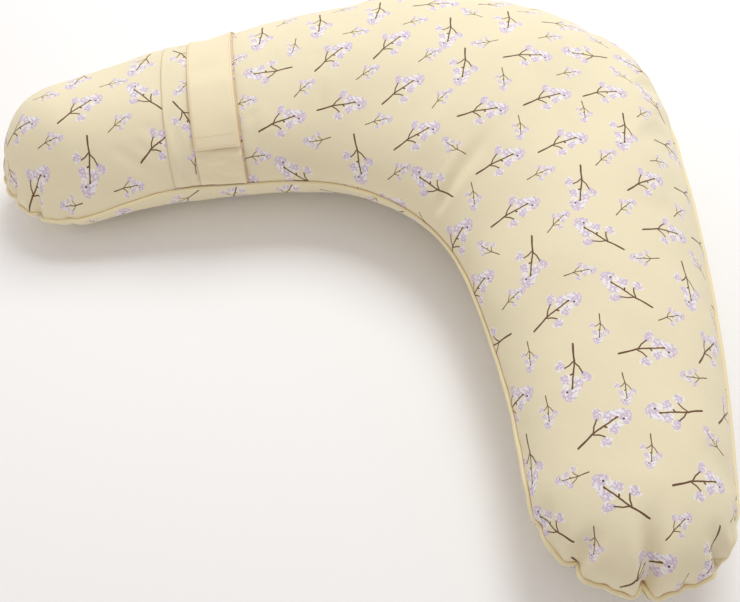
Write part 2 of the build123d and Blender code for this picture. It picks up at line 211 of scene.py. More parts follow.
# Zip coils: each is a row of wire loops.
LOOP_PITCH = 1.5
LOOP_BACK = 0.75             # the loops' middle, in from the coil's outer face
LOOP_DEPTH = 0.42
LOOP_SLANT = 0.28
LOOP_HEIGHT_SHARE = 0.82
WIRE_HALF_DEPTH = 0.3
WIRE_HALF_WIDTH = 0.42

# Inner case and filling: how far inside the cover's shape they lie.
INNER_CASE_INSET = 12.0
FILLING_INSET = 13.5

# Care label: a folded tab that lies on the lower panel behind the zip.
LABEL_DROPS = (24.0, 38.0)   # below the seam
LABEL_TURN = 3.45            # half its width, in degrees about the outer bend
LABEL_DEGREE = 4.3           # length of one such degree
LABEL_GAP = 2.6              # in from the lower panel
LABEL_CURVE = 168.0          # half width of the panel's section there
LABEL_THICKNESS = 0.4


# --- shape of the body -----------------------------------------------------------------------------

def polar(centre, radius, degrees):
    angle = math.radians(degrees)
    return np.array([centre[0] + radius * math.cos(angle), centre[1] + radius * math.sin(angle)])


def bearing(start, end):
    return math.degrees(math.atan2(end[1] - start[1], end[0] - start[0]))


def crook_side_meet(first, first_reach, second, second_reach):
    """Point at given distances from two centres, on the crook's side of the line between them."""
    gap = math.dist(first, second)
    run = (gap ** 2 + first_reach ** 2 - second_reach ** 2) / (2 * gap)
    side = math.sqrt(first_reach ** 2 - run ** 2)
    along = (second - first) / gap
    return first + run * along + side * np.array([along[1], -along[0]])


INNER_BEND = BEND_MIDDLE - (0.0, BEND_WIDTH / 2 + INNER_BEND_RADIUS)
OUTER_BEND = BEND_MIDDLE + (0.0, BEND_WIDTH / 2 - OUTER_BEND_RADIUS)
INNER_ARM = crook_side_meet(INNER_BEND, INNER_ARM_RADIUS - INNER_BEND_RADIUS,
                            TIP, INNER_ARM_RADIUS + TIP_RADIUS)
OUTER_ARM = crook_side_meet(OUTER_BEND, OUTER_ARM_RADIUS - OUTER_BEND_RADIUS,
                            TIP, OUTER_ARM_RADIUS - TIP_RADIUS)
INNER_BEND_END = bearing(INNER_ARM, INNER_BEND)
INNER_ARM_END = bearing(INNER_ARM, TIP)
OUTER_BEND_END = bearing(OUTER_ARM, OUTER_BEND)
OUTER_ARM_END = bearing(OUTER_ARM, TIP)
TIP_START = bearing(TIP, INNER_ARM)
TIP_SWEEP = (OUTER_ARM_END - TIP_START) % 360.0


def rib_ends(station):
    """Inner and outer end of a rib: 0 is the middle of the bend, 1 its end, 2 the arm's end."""
    bend = min(station, 1.0)
    arm = max(station - 1.0, 0.0)
    inner = 90.0 + (INNER_BEND_END - 90.0) * bend + (INNER_ARM_END - INNER_BEND_END) * arm
    outer = 90.0 + (OUTER_BEND_END - 90.0) * bend + (OUTER_ARM_END - OUTER_BEND_END) * arm
    if arm > 0.0:
        return (polar(INNER_ARM, INNER_ARM_RADIUS, inner),
                polar(OUTER_ARM, OUTER_ARM_RADIUS, outer))
    return polar(INNER_BEND, INNER_BEND_RADIUS, inner), polar(OUTER_BEND, OUTER_BEND_RADIUS, outer)


def rib(station):
    """Middle, direction to the outer side, half width and height of a cross-section."""
    inner, outer = rib_ends(abs(station))
    if station < 0:
        inner, outer = inner * (-1, 1), outer * (-1, 1)
    middle = (inner + outer) / 2
    width = math.dist(inner, outer)
    far = math.dist(middle, BEND_MIDDLE) / math.dist(TIP, BEND_MIDDLE)
    height = TIP_HEIGHT + (BEND_HEIGHT - TIP_HEIGHT) * (1.0 - min(far, 1.0)) ** HEIGHT_FADE
    return middle, (outer - inner) / width, width / 2, height


def profile(half_width, rise, upper):
    """A half section from its inner to its outer seam: x across, z from the seam, arc length."""
    turn = np.linspace(0.0, math.pi, 241)
    across = -half_width * np.cos(turn)
    if upper:
        level = rise * np.sin(turn)
    else:
        level = -np.minimum(rise * np.sin(turn), SEAM_HEIGHT)
    steps = np.hypot(np.diff(across), np.diff(level))
    return across, level, np.concatenate([[0.0], np.cumsum(steps)])


def column_arcs(total, outer_steps):
    start, end = INNER_STEPS[-1], total - outer_steps[-1]
    middle = np.linspace(start, end, MIDDLE_COLUMNS + 2)[1:-1]
    return np.concatenate([INNER_STEPS, middle, total - np.array(outer_steps[::-1])])


def rib_row(station, inset, upper):
    """One row of the panel: its points, and the same points on the flat cloth."""
    middle, across, half_width, height = rib(station)
    rise = (height if upper else LOWER_DEPTH) - inset
    x, z, arc = profile(half_width - inset, rise, upper)
    if not upper:
        z = np.maximum(z, inset - SEAM_HEIGHT)
    arcs = column_arcs(arc[-1], OUTER_STEPS_TOP if upper else OUTER_STEPS_LOWER)
    offset = np.interp(arcs, arc, x)
    level = np.interp(arcs, arc, z)
    points = np.column_stack([middle + offset[:, None] * across, SEAM_HEIGHT + level])
    flat = middle + (arcs - arc[-1] / 2)[:, None] * across
    return points, flat


def tip_rows(inset, upper):
    """Rows over the round end of the +X arm, from the last rib to the tip's seam."""
    reach = TIP_RADIUS - inset
    rise = (TIP_HEIGHT if upper else LOWER_DEPTH) - inset
    x, z, arc = profile(reach, rise, upper)
    if not upper:
        z = np.maximum(z, inset - SEAM_HEIGHT)
    half = len(x) // 2
    radius, level, pole_arc = x[half:], z[half:], arc[half:] - arc[half]
    span = pole_arc[-1]
    chord, _ = rib_row(2.0, inset, upper)
    spoke = chord[:, :2] - TIP
    distance = np.maximum(np.hypot(*spoke.T), 1e-6)
    base = spoke / distance[:, None] * np.interp(distance, radius, pole_arc)[:, None] / span
    side = TIP_SWEEP * TIP_SIDE_SHARE
    count = len(base)
    share = np.arange(count) / (count - 1)
    across = np.concatenate([[0.0], np.cumsum(np.hypot(*np.diff(base, axis=0).T))])
    across /= across[-1]
    steps = np.linspace(0.0, 1.0, TIP_ROWS + 1) ** 0.9
    top_angle = np.radians(TIP_START + side + (TIP_SWEEP - 2 * side) * share)
    top = np.column_stack([np.cos(top_angle), np.sin(top_angle)])
    points, flats = [], []
    for step in steps[1:]:
        left = polar((0.0, 0.0), 1.0, TIP_START + side * step)
        right = polar((0.0, 0.0), 1.0, TIP_START + TIP_SWEEP - side * step)
        u = across[:, None]
        disc = (1 - step) * base + step * top + (1 - u) * left + u * right
        disc -= (1 - u) * ((1 - step) * base[0] + step * top[0])
        disc -= u * ((1 - step) * base[-1] + step * top[-1])
        rho = np.minimum(np.hypot(*disc.T), 1.0)
        rho[[0, -1]] = 1.0
        if step == 1.0:
            rho[:] = 1.0
        out = disc / np.maximum(np.hypot(*disc.T), 1e-9)[:, None]
        ring = np.interp(rho * span, pole_arc, radius)
        height = np.interp(rho * span, pole_arc, level)
        points.append(np.column_stack([TIP + out * ring[:, None], SEAM_HEIGHT + height]))
        flats.append(TIP + out * (rho * span)[:, None])
    return points, flats


def panel(inset, upper):
    """Grid of points on one panel, and the same grid on the flat cloth."""
    half_length = math.dist(rib(0.0)[0], rib(1.0)[0]) + math.dist(rib(1.0)[0], rib(2.0)[0])
    spans = round(half_length / ROW_STEP)
    stations = np.linspace(-2.0, 2.0, 2 * spans + 1)
    rows = [rib_row(station, inset, upper) for station in stations]
    end_points, end_flats = tip_rows(inset, upper)
    right = list(zip(end_points, end_flats))
    left = [(points * (-1, 1, 1), flat * (-1, 1)) for points, flat in reversed(right)]
    everything = left + rows + right
    return (np.array([points for points, _ in everything]),
            np.array([flat for _, flat in everything]))


def smooth_step(value, start, end):
    t = np.clip((value - start) / (end - start), 0.0, 1.0)
    return t * t * (3 - 2 * t)


def grid_normals(grid, upper):
    """Outward normals of a panel's grid."""
    along = np.gradient(grid, axis=0)
    across = np.gradient(grid, axis=1)
    normal = np.cross(across, along)
    normal /= np.maximum(np.linalg.norm(normal, axis=2), 1e-9)[..., None]
    side = np.sign(normal[len(grid) // 2, grid.shape[1] // 2, 2])
    return normal * (side if upper else -side)


# --- folds -----------------------------------------------------------------------------------------

def tip_fold(side, degrees, length, half_width, depth):
    """A fold that runs in from the seam at a tip. Zero degrees points outwards along +X."""
    start = polar(TIP, TIP_CLOTH_REACH + 2.0, degrees)
    end = polar(TIP, TIP_CLOTH_REACH - length, degrees)
    return start * (side, 1), end * (side, 1), half_width, half_width * 1.7, depth


# A fold is a valley on the flat cloth, from start to end, with a low shoulder on each side: start,
# end, half width at start, half width at end, depth.
TIP_FOLDS = [
    tip_fold(1, -122.0, 30.0, 5.0, 4.0),
    tip_fold(1, -94.0, 56.0, 5.0, 9.0),
    tip_fold(1, -76.0, 22.0, 4.0, 2.5),
    tip_fold(1, -56.0, 88.0, 5.5, 14.0),
    tip_fold(1, -33.0, 26.0, 4.5, 4.0),
    tip_fold(1, -10.0, 48.0, 5.0, 10.5),
    tip_fold(1, 16.0, 30.0, 5.5, 4.0),
    tip_fold(-1, -126.0, 34.0, 5.0, 4.0),
    tip_fold(-1, -102.0, 44.0, 5.0, 8.0),
    tip_fold(-1, -78.0, 40.0, 5.0, 7.0),
    tip_fold(-1, -61.0, 24.0, 4.0, 3.0),
    tip_fold(-1, -46.0, 40.0, 5.0, 7.5),
    tip_fold(-1, -18.0, 44.0, 5.0, 8.5),
    tip_fold(-1, 12.0, 28.0, 5.5, 4.0),
]
TOP_FOLDS = [
    (np.array([43.0, -72.0]), np.array([54.0, 44.0]), 4.5, 9.0, 5.0),
    (np.array([-154.0, 14.0]), np.array([-103.0, -72.0]), 4.0, 6.0, 2.4),
    (np.array([-171.0, -88.0]), np.array([-134.0, -136.0]), 4.0, 5.0, 3.0),
    (np.array([-258.0, -205.0]), np.array([-206.0, -201.0]), 4.0, 5.0, 2.0),
    (np.array([-252.0, -170.0]), np.array([-216.0, -171.0]), 4.0, 5.0, 1.3),
    (np.array([-246.0, -190.0]), np.array([-204.0, -186.0]), 4.0, 5.0, 1.3),
]


def fold_depth(flat, folds):
    """How far the cloth lies in at each flat point, for all the folds."""
    total = np.zeros(flat.shape[:-1])
    for start, end, first, last, depth in folds:
        run = end - start
        share = ((flat - start) @ run) / (run @ run)
        nearest = start + np.clip(share, 0.0, 1.0)[..., None] * run
        distance = np.linalg.norm(flat - nearest, axis=-1)
        width = first + (last - first) * np.clip(share, 0.0, 1.0)
        ratio = (distance / width) ** 2
        fade = 1.0 - smooth_step(share, 0.35, 1.0)
        total += depth * fade * (1.0 - 0.55 * ratio) * np.exp(-ratio / 2)
    return total


def ripples(points, scale, seed):
    """Smooth repeatable unevenness between about -1 and 1: sines in unlike directions."""
    generator = np.random.default_rng(seed)
    total = np.zeros(points.shape[:-1])
    for _ in range(9):
        direction = generator.normal(size=points.shape[-1])
        direction /= np.linalg.norm(direction)
        wave = scale * generator.uniform(0.7, 1.5)
        phase = generator.uniform(0.0, 2 * math.pi)
        total += np.sin(points @ direction * 2 * math.pi / wave + phase)
    return total / 4.5


def rippled(points, ripple):
    """Ripples of a height, wave length and seed."""
    height, wave_length, seed = ripple
    return height * ripples(points, wave_length, seed)


def seam_distance(grid):
    """Arc length from each grid point to the nearer seam, across the panel and along the tips."""
    steps = np.linalg.norm(np.diff(grid, axis=1), axis=2)
    from_inner = np.concatenate([np.zeros((len(grid), 1)), np.cumsum(steps, axis=1)], axis=1)
    from_outer = from_inner[:, -1:] - from_inner
    steps = np.linalg.norm(np.diff(grid, axis=0), axis=2)
    from_left = np.concatenate([np.zeros((1, grid.shape[1])), np.cumsum(steps, axis=0)], axis=0)
    from_right = from_left[-1:] - from_left
    return np.minimum.reduce([from_inner, from_outer, from_left, from_right])


def zip_share(points, margin=0.0):
    """1 in the zip's stretch round the bend, fading to 0 past its ends."""
    turn = np.degrees(np.arctan2(points[..., 0] - OUTER_BEND[0], points[..., 1] - OUTER_BEND[1]))
    return 1.0 - smooth_step(np.abs(turn), ZIP_HALF_ANGLE + margin, ZIP_HALF_ANGLE + margin + 1.2)


def settle(points):
    """The -X arm's end and the bend's outer flank as they lie, from the sizes above."""
    tip = TIP * (-1, 1)
    arm_length = math.dist(tip, STRAP_MIDDLE)
    towards_tip = (tip - STRAP_MIDDLE) / arm_length
    outwards = np.array([towards_tip[1], -towards_tip[0]])
    run = (points[..., :2] - STRAP_MIDDLE) @ towards_tip
    left = smooth_step(-points[..., 0], *ARM_START)
    height = points[..., 2]
    above_seam = height - SEAM_HEIGHT
    level = np.clip(height / (SEAM_HEIGHT + TIP_HEIGHT), 0.0, 1.0)
    spine = STRAP_MIDDLE + np.clip(run, 0.0, arm_length)[..., None] * towards_tip
    inwards = spine - points[..., :2]
    inwards /= np.maximum(np.linalg.norm(inwards, axis=-1), 1.0)[..., None]
    crook_share = np.clip((spine - points[..., :2]) @ outwards / TIP_RADIUS, -1.0, 1.0)
    sag = TIP_SAG * smooth_step(run, *TIP_SAG_RUN) * left
    sag = sag * (1.0 - SAG_LEAN + SAG_LEAN * crook_share)
    tuck = TIP_TUCK * smooth_step(run, *TIP_TUCK_RUN) * left
    tuck = tuck * smooth_step(-above_seam, 0.0, TIP_TUCK_DROP)
    swell = ARM_SWELL * smooth_step(run, *ARM_SWELL_RUN) * left
    swell = swell * np.sin(math.pi * np.clip(above_seam / ARM_SWELL_HEIGHT, 0.0, 1.0))
    reach = TIP_REACH * smooth_step(run, *TIP_REACH_RUN) * left
    from_bend = points[..., :2] - BEND_MIDDLE
    radius = np.linalg.norm(from_bend, axis=-1)
    angle = np.arctan2(from_bend[..., 0], from_bend[..., 1])
    bulge = BEND_BULGE * np.exp(-(((angle - BULGE_ANGLE) / BULGE_SPREAD) ** 2))
    bulge -= BEND_HOLLOW * np.exp(-(((angle - HOLLOW_ANGLE) / HOLLOW_SPREAD) ** 2))
    bulge *= np.sin(math.pi * np.clip(above_seam / BULGE_HEIGHT, 0.0, 1.0))
    bulge *= smooth_step(radius, *BULGE_RADII) / np.maximum(radius, 1.0)
    moved = points.copy()
    moved[..., 2] += ARM_FULLNESS * left * smooth_step(height, SEAM_HEIGHT, ARM_FULL_HEIGHT)
    moved[..., 2] -= 4.0 * sag * level * (1.0 - level)
    moved[..., :2] += towards_tip * reach[..., None] + outwards * swell[..., None]
    moved[..., :2] += inwards * tuck[..., None] + from_bend * bulge[..., None]
    return moved


def sculpt(grid, flat, upper):
    """The panel with its folds and gathers, before the cloth is simulated.

    The flat part of the underside and the cloth round the zip stay smooth.
    """
    normal = grid_normals(grid, upper)
    near = seam_distance(grid)
    tip_share = smooth_step(-grid[..., 1], 120.0, 215.0)
    outer_share = smooth_step(grid[..., 1], 60.0, 150.0)
    everywhere, at_tips, at_bend = GATHER_SHARES
    gather = everywhere + at_tips * tip_share + at_bend * outer_share
    gather = np.exp(-((near / GATHER_REACH) ** 2)) * gather
    out = rippled(grid, BROAD_RIPPLE) + rippled(grid, FINE_RIPPLE)
    out *= smooth_step(near, 0.0, 9.0) * 0.75 + 0.25
    out += gather * rippled(grid, GATHER_RIPPLE)
    out -= fold_depth(flat, TIP_FOLDS + TOP_FOLDS if upper else TIP_FOLDS)
    out -= SEAM_GROOVE * np.exp(-((near / SEAM_GROOVE_REACH) ** 2))
    if upper:
        beside_zip = 1.0 - smooth_step(near, 6.0, 30.0)
    else:
        beside_zip = grid[..., 2] < SEAM_HEIGHT
        out *= smooth_step(-normal[..., 2], 0.98, 0.80)
    still = zip_share(grid, 3.0) * beside_zip * (grid[..., 1] > BEND_MIDDLE[1])
    return settle(grid + normal * (out * (1.0 - still))[..., None])


# --- meshes ----------------------------------------------------------------------------------------

def new_object(name, points, faces, uvs=None, smooth=True):
    """An object from points in millimetres. uvs hold one millimetre pair for each face corner."""
    mesh = bpy.data.meshes.new(name)
    mesh.from_pydata((np.asarray(points) * MM).tolist(), [], faces)
    if uvs is not None:
        layer = mesh.uv_layers.new(name="cloth")
        layer.data.foreach_set("uv", (np.asarray(uvs) * MM).astype(np.float32).ravel())
    mesh.polygons.foreach_set("use_smooth", [smooth] * len(mesh.polygons))
    face_outwards(mesh)
    thing = bpy.data.objects.new(name, mesh)
    bpy.context.collection.objects.link(thing)
    return thing


def face_outwards(mesh):
    """Turn the faces of a closed mesh so that every one faces out."""
    work = bmesh.new()
    work.from_mesh(mesh)
    bmesh.ops.recalc_face_normals(work, faces=work.faces)
    work.to_mesh(mesh)
    work.free()
    mesh.update()


def replace_mesh(thing):
    """Apply every modifier."""
    graph = bpy.context.evaluated_depsgraph_get()
    mesh = bpy.data.meshes.new_from_object(thing.evaluated_get(graph))
    thing.modifiers.clear()
    thing.data = mesh


def subdivide(thing):
    modifier = thing.modifiers.new("smooth", "SUBSURF")
    modifier.levels = modifier.render_levels = 1
    replace_mesh(thing)


def positions(mesh):
    flat = np.zeros(len(mesh.vertices) * 3, np.float32)
    mesh.vertices.foreach_get("co", flat)
    return flat.reshape(-1, 3).astype(float)


def closed_body(name, top, lower, top_flat, lower_flat):
    """Two panels joined along their shared border. Returns the object and the border's vertices."""
    rows, columns = top.shape[:2]
    top_index = np.arange(rows * columns).reshape(rows, columns)
    inside = np.zeros((rows, columns), bool)
    inside[1:-1, 1:-1] = True
    lower_index = top_index.copy()
    lower_index[inside] = rows * columns + np.arange(inside.sum())
    points = np.concatenate([top.reshape(-1, 3), lower[inside]])
    faces, uvs = [], []
    for index, flat, forwards in ((top_index, top_flat, True), (lower_index, lower_flat, False)):
        for i in range(rows - 1):
            for j in range(columns - 1):
                corners = [(i, j), (i + 1, j), (i + 1, j + 1), (i, j + 1)]
                if forwards:
                    corners.reverse()
                faces.append([int(index[c]) for c in corners])
                uvs += [flat[c] for c in corners]
    border = list(top_index[:, 0]) + list(top_index[-1, 1:]) + list(top_index[-2::-1, -1])
    border += list(top_index[0, -2:0:-1])
    thing = new_object(name, points, faces, uvs)
    return thing, [int(i) for i in border]


def simulate(thing, pins, cut):
    """Blow the cloth up a little from its sculpted start, held at its pins.

    cut is where the vertices would lie if the cloth were slack, and sets how large it is cut.
    """
    start = positions(thing.data)
    group = thing.vertex_groups.new(name="pins")
    for level in np.unique(np.round(pins, 1)):
        chosen = np.flatnonzero(np.round(pins, 1) == level)
        if level > 0:
            group.add([int(i) for i in chosen], float(level), "REPLACE")
    thing.shape_key_add(name="start")
    key = thing.shape_key_add(name="cut")
    key.data.foreach_set("co", cut.astype(np.float32).ravel())
    modifier = thing.modifiers.new("cloth", "CLOTH")
    for name, value in CLOTH_SETTINGS.items():
        setattr(modifier.settings, name, value)
    modifier.settings.rest_shape_key = key
    modifier.settings.effector_weights.gravity = 0.0
    modifier.collision_settings.use_collision = False
    modifier.point_cache.frame_end = CLOTH_FRAMES
    scene = bpy.context.scene
    for number in range(1, CLOTH_FRAMES + 1):
        scene.frame_set(number)
    graph = bpy.context.evaluated_depsgraph_get()
    moved = positions(thing.evaluated_get(graph).to_mesh()) - start
    thing.evaluated_get(graph).to_mesh_clear()
    thing.modifiers.clear()
    thing.shape_key_clear()
    scene.frame_set(1)
    far = np.linalg.norm(moved, axis=1)
    limit = CLOTH_MOVE_LIMIT * MM
    moved *= (limit * np.tanh(far / limit) / np.maximum(far, 1e-9))[:, None]
    thing.data.vertices.foreach_set("co", (start + moved).astype(np.float32).ravel())
    thing.data.update()


def make_cover():
    """The stuffed cover, and its seam line."""
    top, top_flat = panel(SEAM_INSET, True)
    lower, lower_flat = panel(SEAM_INSET, False)
    lower[..., 2] = np.where(lower[..., 2] < SEAM_INSET + 0.01, 0.0, lower[..., 2])
    top = sculpt(top, top_flat, True)
    lower = sculpt(lower, lower_flat, False)
    thing, border = closed_body("cover", top, lower, top_flat,
                                lower_flat * (1, -1) + LOWER_PRINT_SHIFT)
    start = positions(thing.data) / MM
    pins = np.zeros(len(start))
    pins[border] = 1.0
    pins = np.maximum(pins, (start[:, 2] < 1.0) * 1.0)
    below = (start[:, 2] < SEAM_HEIGHT + 1.0) & (start[:, 1] > BEND_MIDDLE[1])
    pins = np.maximum(pins, zip_share(start, 2.0) * below)
    looser = smooth_step(-start[:, 1], 100.0, 215.0)
    middle = np.array([0.0, 0.0, SEAM_HEIGHT])
    tips = np.column_stack([np.sign(start[:, 0]) * TIP[0], np.full(len(start), TIP[1]),
                            np.full(len(start), SEAM_HEIGHT)])
    cut = start + (start - tips) * (TIP_SLACK * looser)[:, None]
    cut += (start - middle) * (MIDDLE_SLACK * (1 - looser))[:, None]
    simulate(thing, pins, cut * MM)
    moved = recess(positions(thing.data) / MM, start)
    moved[:, 2] = np.maximum(moved[:, 2], 0.0)
    seam = moved[border]
    thing.data.vertices.foreach_set("co", (moved * MM).astype(np.float32).ravel())
    subdivide(thing)
    return thing, seam


def recess(points, start):
    """Sink the lower panel behind the zip, from its folded edge up to the seam."""
    drop = SEAM_HEIGHT - start[:, 2]
    in_band = smooth_step(drop, ZIP_TOP - 1.0, ZIP_TOP + 0.4)
    in_band *= 1.0 - smooth_step(drop, ZIP_BOTTOM - 0.8, ZIP_BOTTOM + 0.2)
    share = zip_share(start) * in_band * (start[:, 1] > BEND_MIDDLE[1])
    inwards = start[:, :2] - OUTER_BEND
    inwards /= np.linalg.norm(inwards, axis=1)[:, None]
    moved = points.copy()
    moved[:, :2] -= inwards * (share * ZIP_DEPTH)[:, None]
    return moved


# --- piping ----------------------------------------------------------------------------------------

def arc_lengths(line):
    """Distance along a line to each of its points."""
    return np.concatenate([[0.0], np.cumsum(np.linalg.norm(np.diff(line, axis=0), axis=1))])


def sampled(values, arc, places):
    """Points or directions given along an arc, at other places on it."""
    return np.column_stack([np.interp(places, arc, values[:, k]) for k in range(3)])


def tube_faces(rings, sides, base=0, closed=False):
    """Quads between neighbouring rings of points."""
    faces = []
    for i in range(rings if closed else rings - 1):
        after = (i + 1) % rings
        for k in range(sides):
            near = (k + 1) % sides
            faces.append([base + i * sides + k, base + i * sides + near,
                          base + after * sides + near, base + after * sides + k])
    return faces


def outward_normals(line):
    """Outward level normals along a closed line that runs anticlockwise or not."""
    tangent = np.roll(line, -1, axis=0) - np.roll(line, 1, axis=0)
    tangent /= np.linalg.norm(tangent, axis=1)[:, None]
    outward = np.column_stack([tangent[:, 1], -tangent[:, 0], np.zeros(len(line))])
    outward /= np.linalg.norm(outward, axis=1)[:, None]
    shoelace = (line[:, 0] * np.roll(line[:, 1], -1) - np.roll(line[:, 0], -1) * line[:, 1]).sum()
    return outward * np.sign(shoelace)


def make_piping(seam):
    """The piping's tube along the seam, with the strip's two edges tucked in between the panels."""
    line = seam.copy()
    for _ in range(2):
        line = (np.roll(line, 1, axis=0) + 2 * line + np.roll(line, -1, axis=0)) / 4
    middle = (line + np.roll(line, -1, axis=0)) / 2
    line = np.stack([line, middle], axis=1).reshape(-1, 3)
    outward = outward_normals(line)
    length = arc_lengths(line)
    centre = line + outward * PIPING_OFFSET
    swell = 1.0 + 0.03 * ripples(line, 23.0, 31)
    rise = 0.25 * ripples(line, 34.0, 35)
    rings = []
    for k in range(PIPING_SIDES):
        angle = 2 * math.pi * k / PIPING_SIDES
        reach = PIPING_RADIUS * swell
        if abs(angle - math.pi) < 0.5:
            reach = reach * PIPING_TAIL
        ring = centre + outward * (reach * math.cos(angle))[:, None]
        ring[:, 2] += reach * math.sin(angle) + rise
        rings.append(ring)
    points = np.stack(rings, axis=1).reshape(-1, 3)
    count = len(line)
    total = length[-1] + np.linalg.norm(line[0] - line[-1])
    girth = 2 * math.pi * PIPING_RADIUS / PIPING_SIDES
    faces, uvs = [], []
    for i in range(count):
        after = (i + 1) % count
        end = total if after == 0 else length[after]
        here, there = i * PIPING_SIDES, after * PIPING_SIDES
        for k in range(PIPING_SIDES):
            near = (k + 1) % PIPING_SIDES
            faces.append([here + k, there + k, there + near, here + near])
            uvs += [(length[i], k * girth), (end, k * girth), (end, (k + 1) * girth),
                    (length[i], (k + 1) * girth)]
    return new_object("piping", points, faces, uvs)


# --- strap stack -----------------------------------------------------------------------------------

ACROSS = np.array([math.cos(math.radians(STRAP_DIRECTION)),
                   math.sin(math.radians(STRAP_DIRECTION)), 0.0])
ALONG = np.array([ACROSS[1], -ACROSS[0], 0.0])
UP = np.array([0.0, 0.0, 1.0])


class ArmSurface:
    """The cover's top over the arm under the strap: x along the arm, t across it from the crook."""

    def __init__(self, cover, first, last, count=60, rays=260):
        vertices = positions(cover.data)
        polygons = [tuple(p.vertices) for p in cover.data.polygons]
        tree = BVHTree.FromPolygons([Vector(v) for v in vertices], polygons)
        self.places = np.linspace(first, last, count)
        self.curves = []
        for place in self.places:
            centre = np.append(STRAP_MIDDLE, SEAM_HEIGHT + 2.0) + ALONG * place
            curve = []
            for turn in np.radians(np.linspace(180.0, 0.0, rays)):
                direction = ACROSS * math.cos(turn) + UP * math.sin(turn)
                hit = tree.ray_cast(Vector(centre * MM), Vector(direction))[0]
                curve.append(np.array(hit) / MM)
            self.curves.append(np.array(curve))
        self.curves = np.array(self.curves)
        smoothed = self.curves.copy()
        for _ in range(6):
            smoothed[1:-1] = (smoothed[:-2] + 2 * smoothed[1:-1] + smoothed[2:]) / 4
            smoothed[:, 1:-1] = (smoothed[:, :-2] + 2 * smoothed[:, 1:-1] + smoothed[:, 2:]) / 4
        normal = np.cross(np.gradient(smoothed, axis=1), np.gradient(smoothed, axis=0))
        normal /= np.linalg.norm(normal, axis=2)[..., None]
        normal *= np.sign(normal[count // 2, rays // 2, 2])
        self.normals = normal

    def row(self, place, shares):
        """Points and normals at one place along the arm, at shares of the way across."""
        position = np.interp(place, self.places, np.arange(len(self.places)))
        low = min(int(position), len(self.places) - 2)
        mix = position - low
        curve = self.curves[low] * (1 - mix) + self.curves[low + 1] * mix
        normal = self.normals[low] * (1 - mix) + self.normals[low + 1] * mix
        arc = arc_lengths(curve)
        arc /= arc[-1]
        normals = sampled(normal, arc, shares)
        return sampled(curve, arc, shares), normals / np.linalg.norm(normals, axis=1)[:, None]

    def share_at(self, across):
        """The share of the way over the arm at a level distance from its centre line."""
        middle = self.curves[len(self.curves) // 2]
        level = (middle[:, :2] - STRAP_MIDDLE) @ ACROSS[:2]
        arc = arc_lengths(middle)
        return float(np.interp(across, level, arc / arc[-1]))

    def length(self):
        middle = self.curves[len(self.curves) // 2]
        return float(np.linalg.norm(np.diff(middle, axis=0), axis=1).sum())


def strip(name, surface, middle, width, first, last, height, thickness, cells=22):
    """A strip of cloth over the arm, with turned and slightly thicker long edges.

    first and last are shares of the way across. height is the distance above the cover: a number,
    or a function of the shares across and the place along the width.
    """
    rows = max(int(surface.length() * (last - first) / STRIP_STEP), 12)
    shares = np.linspace(first, last, rows + 1)
    half = width / 2
    crowded = np.linspace(-1.0, 1.0, cells + 1) * STRIP_CROWDING
    places = half * np.sin(crowded) / math.sin(STRIP_CROWDING)
    upper, under = [], []
    for place in places:
        points, normals = surface.row(middle + place, shares)
        lift = height(shares, place) if callable(height) else np.full(rows + 1, height)
        edge = (abs(place) / half) ** 10
        hem = HEM_RISE * math.exp(-(((half - abs(place)) - HEM_INSET) / HEM_REACH) ** 2)
        half_thickness = thickness * (0.5 - EDGE_THINNING * edge)
        middle_lift = lift + thickness / 2
        upper.append(points + normals * (middle_lift + half_thickness + hem)[:, None])
        under.append(points + normals * (middle_lift - half_thickness)[:, None])
    loop = np.concatenate([upper, under[::-1]])
    count = len(loop)
    across = np.concatenate([places, places[::-1]])
    run = (shares - first) * surface.length()
    faces = tube_faces(rows + 1, count)
    for i, forwards in ((0, False), (rows, True)):
        for k in range(cells):
            corners = [k, k + 1, count - 2 - k, count - 1 - k]
            if not forwards:
                corners.reverse()
            faces.append([i * count + c for c in corners])
    uvs = [(across[v % count], run[v // count]) for face in faces for v in face]
    return new_object(name, loop.transpose(1, 0, 2).reshape(-1, 3), faces, uvs)


def stitches(line, normals):
    """A row of small raised stitches along a line."""
    arc = arc_lengths(line)
    places = (np.arange(int(arc[-1] / STITCH_SPACING)) + 0.5) * STITCH_SPACING
    centres = sampled(line, arc, places)
    ups = sampled(normals, arc, places)
    ahead = sampled(line, arc, places + 0.5) - centres
    ahead /= np.maximum(np.linalg.norm(ahead, axis=1), 1e-9)[:, None]
    points, faces = [], []
    rings, sides = 5, 6
    for centre, up, forward, side in zip(centres, ups, ahead, np.cross(ups, ahead)):
        base = len(points)
        for share in np.linspace(-1.0, 1.0, rings):
            thick = STITCH_RADIUS * math.sqrt(max(1 - share ** 4, 0.02))
            for k in range(sides):
                angle = 2 * math.pi * k / sides
                points.append(centre + forward * share * STITCH_LENGTH / 2
                              + side * math.cos(angle) * thick * 1.2
                              + up * (math.sin(angle) * thick + 0.05 - 0.15 * share ** 2))
        faces += tube_faces(rings, sides, base)
        faces.append([base + k for k in reversed(range(sides))])
        faces.append([base + (rings - 1) * sides + k for k in range(sides)])
    return points, faces


# --- materials -------------------------------------------------------------------------------------

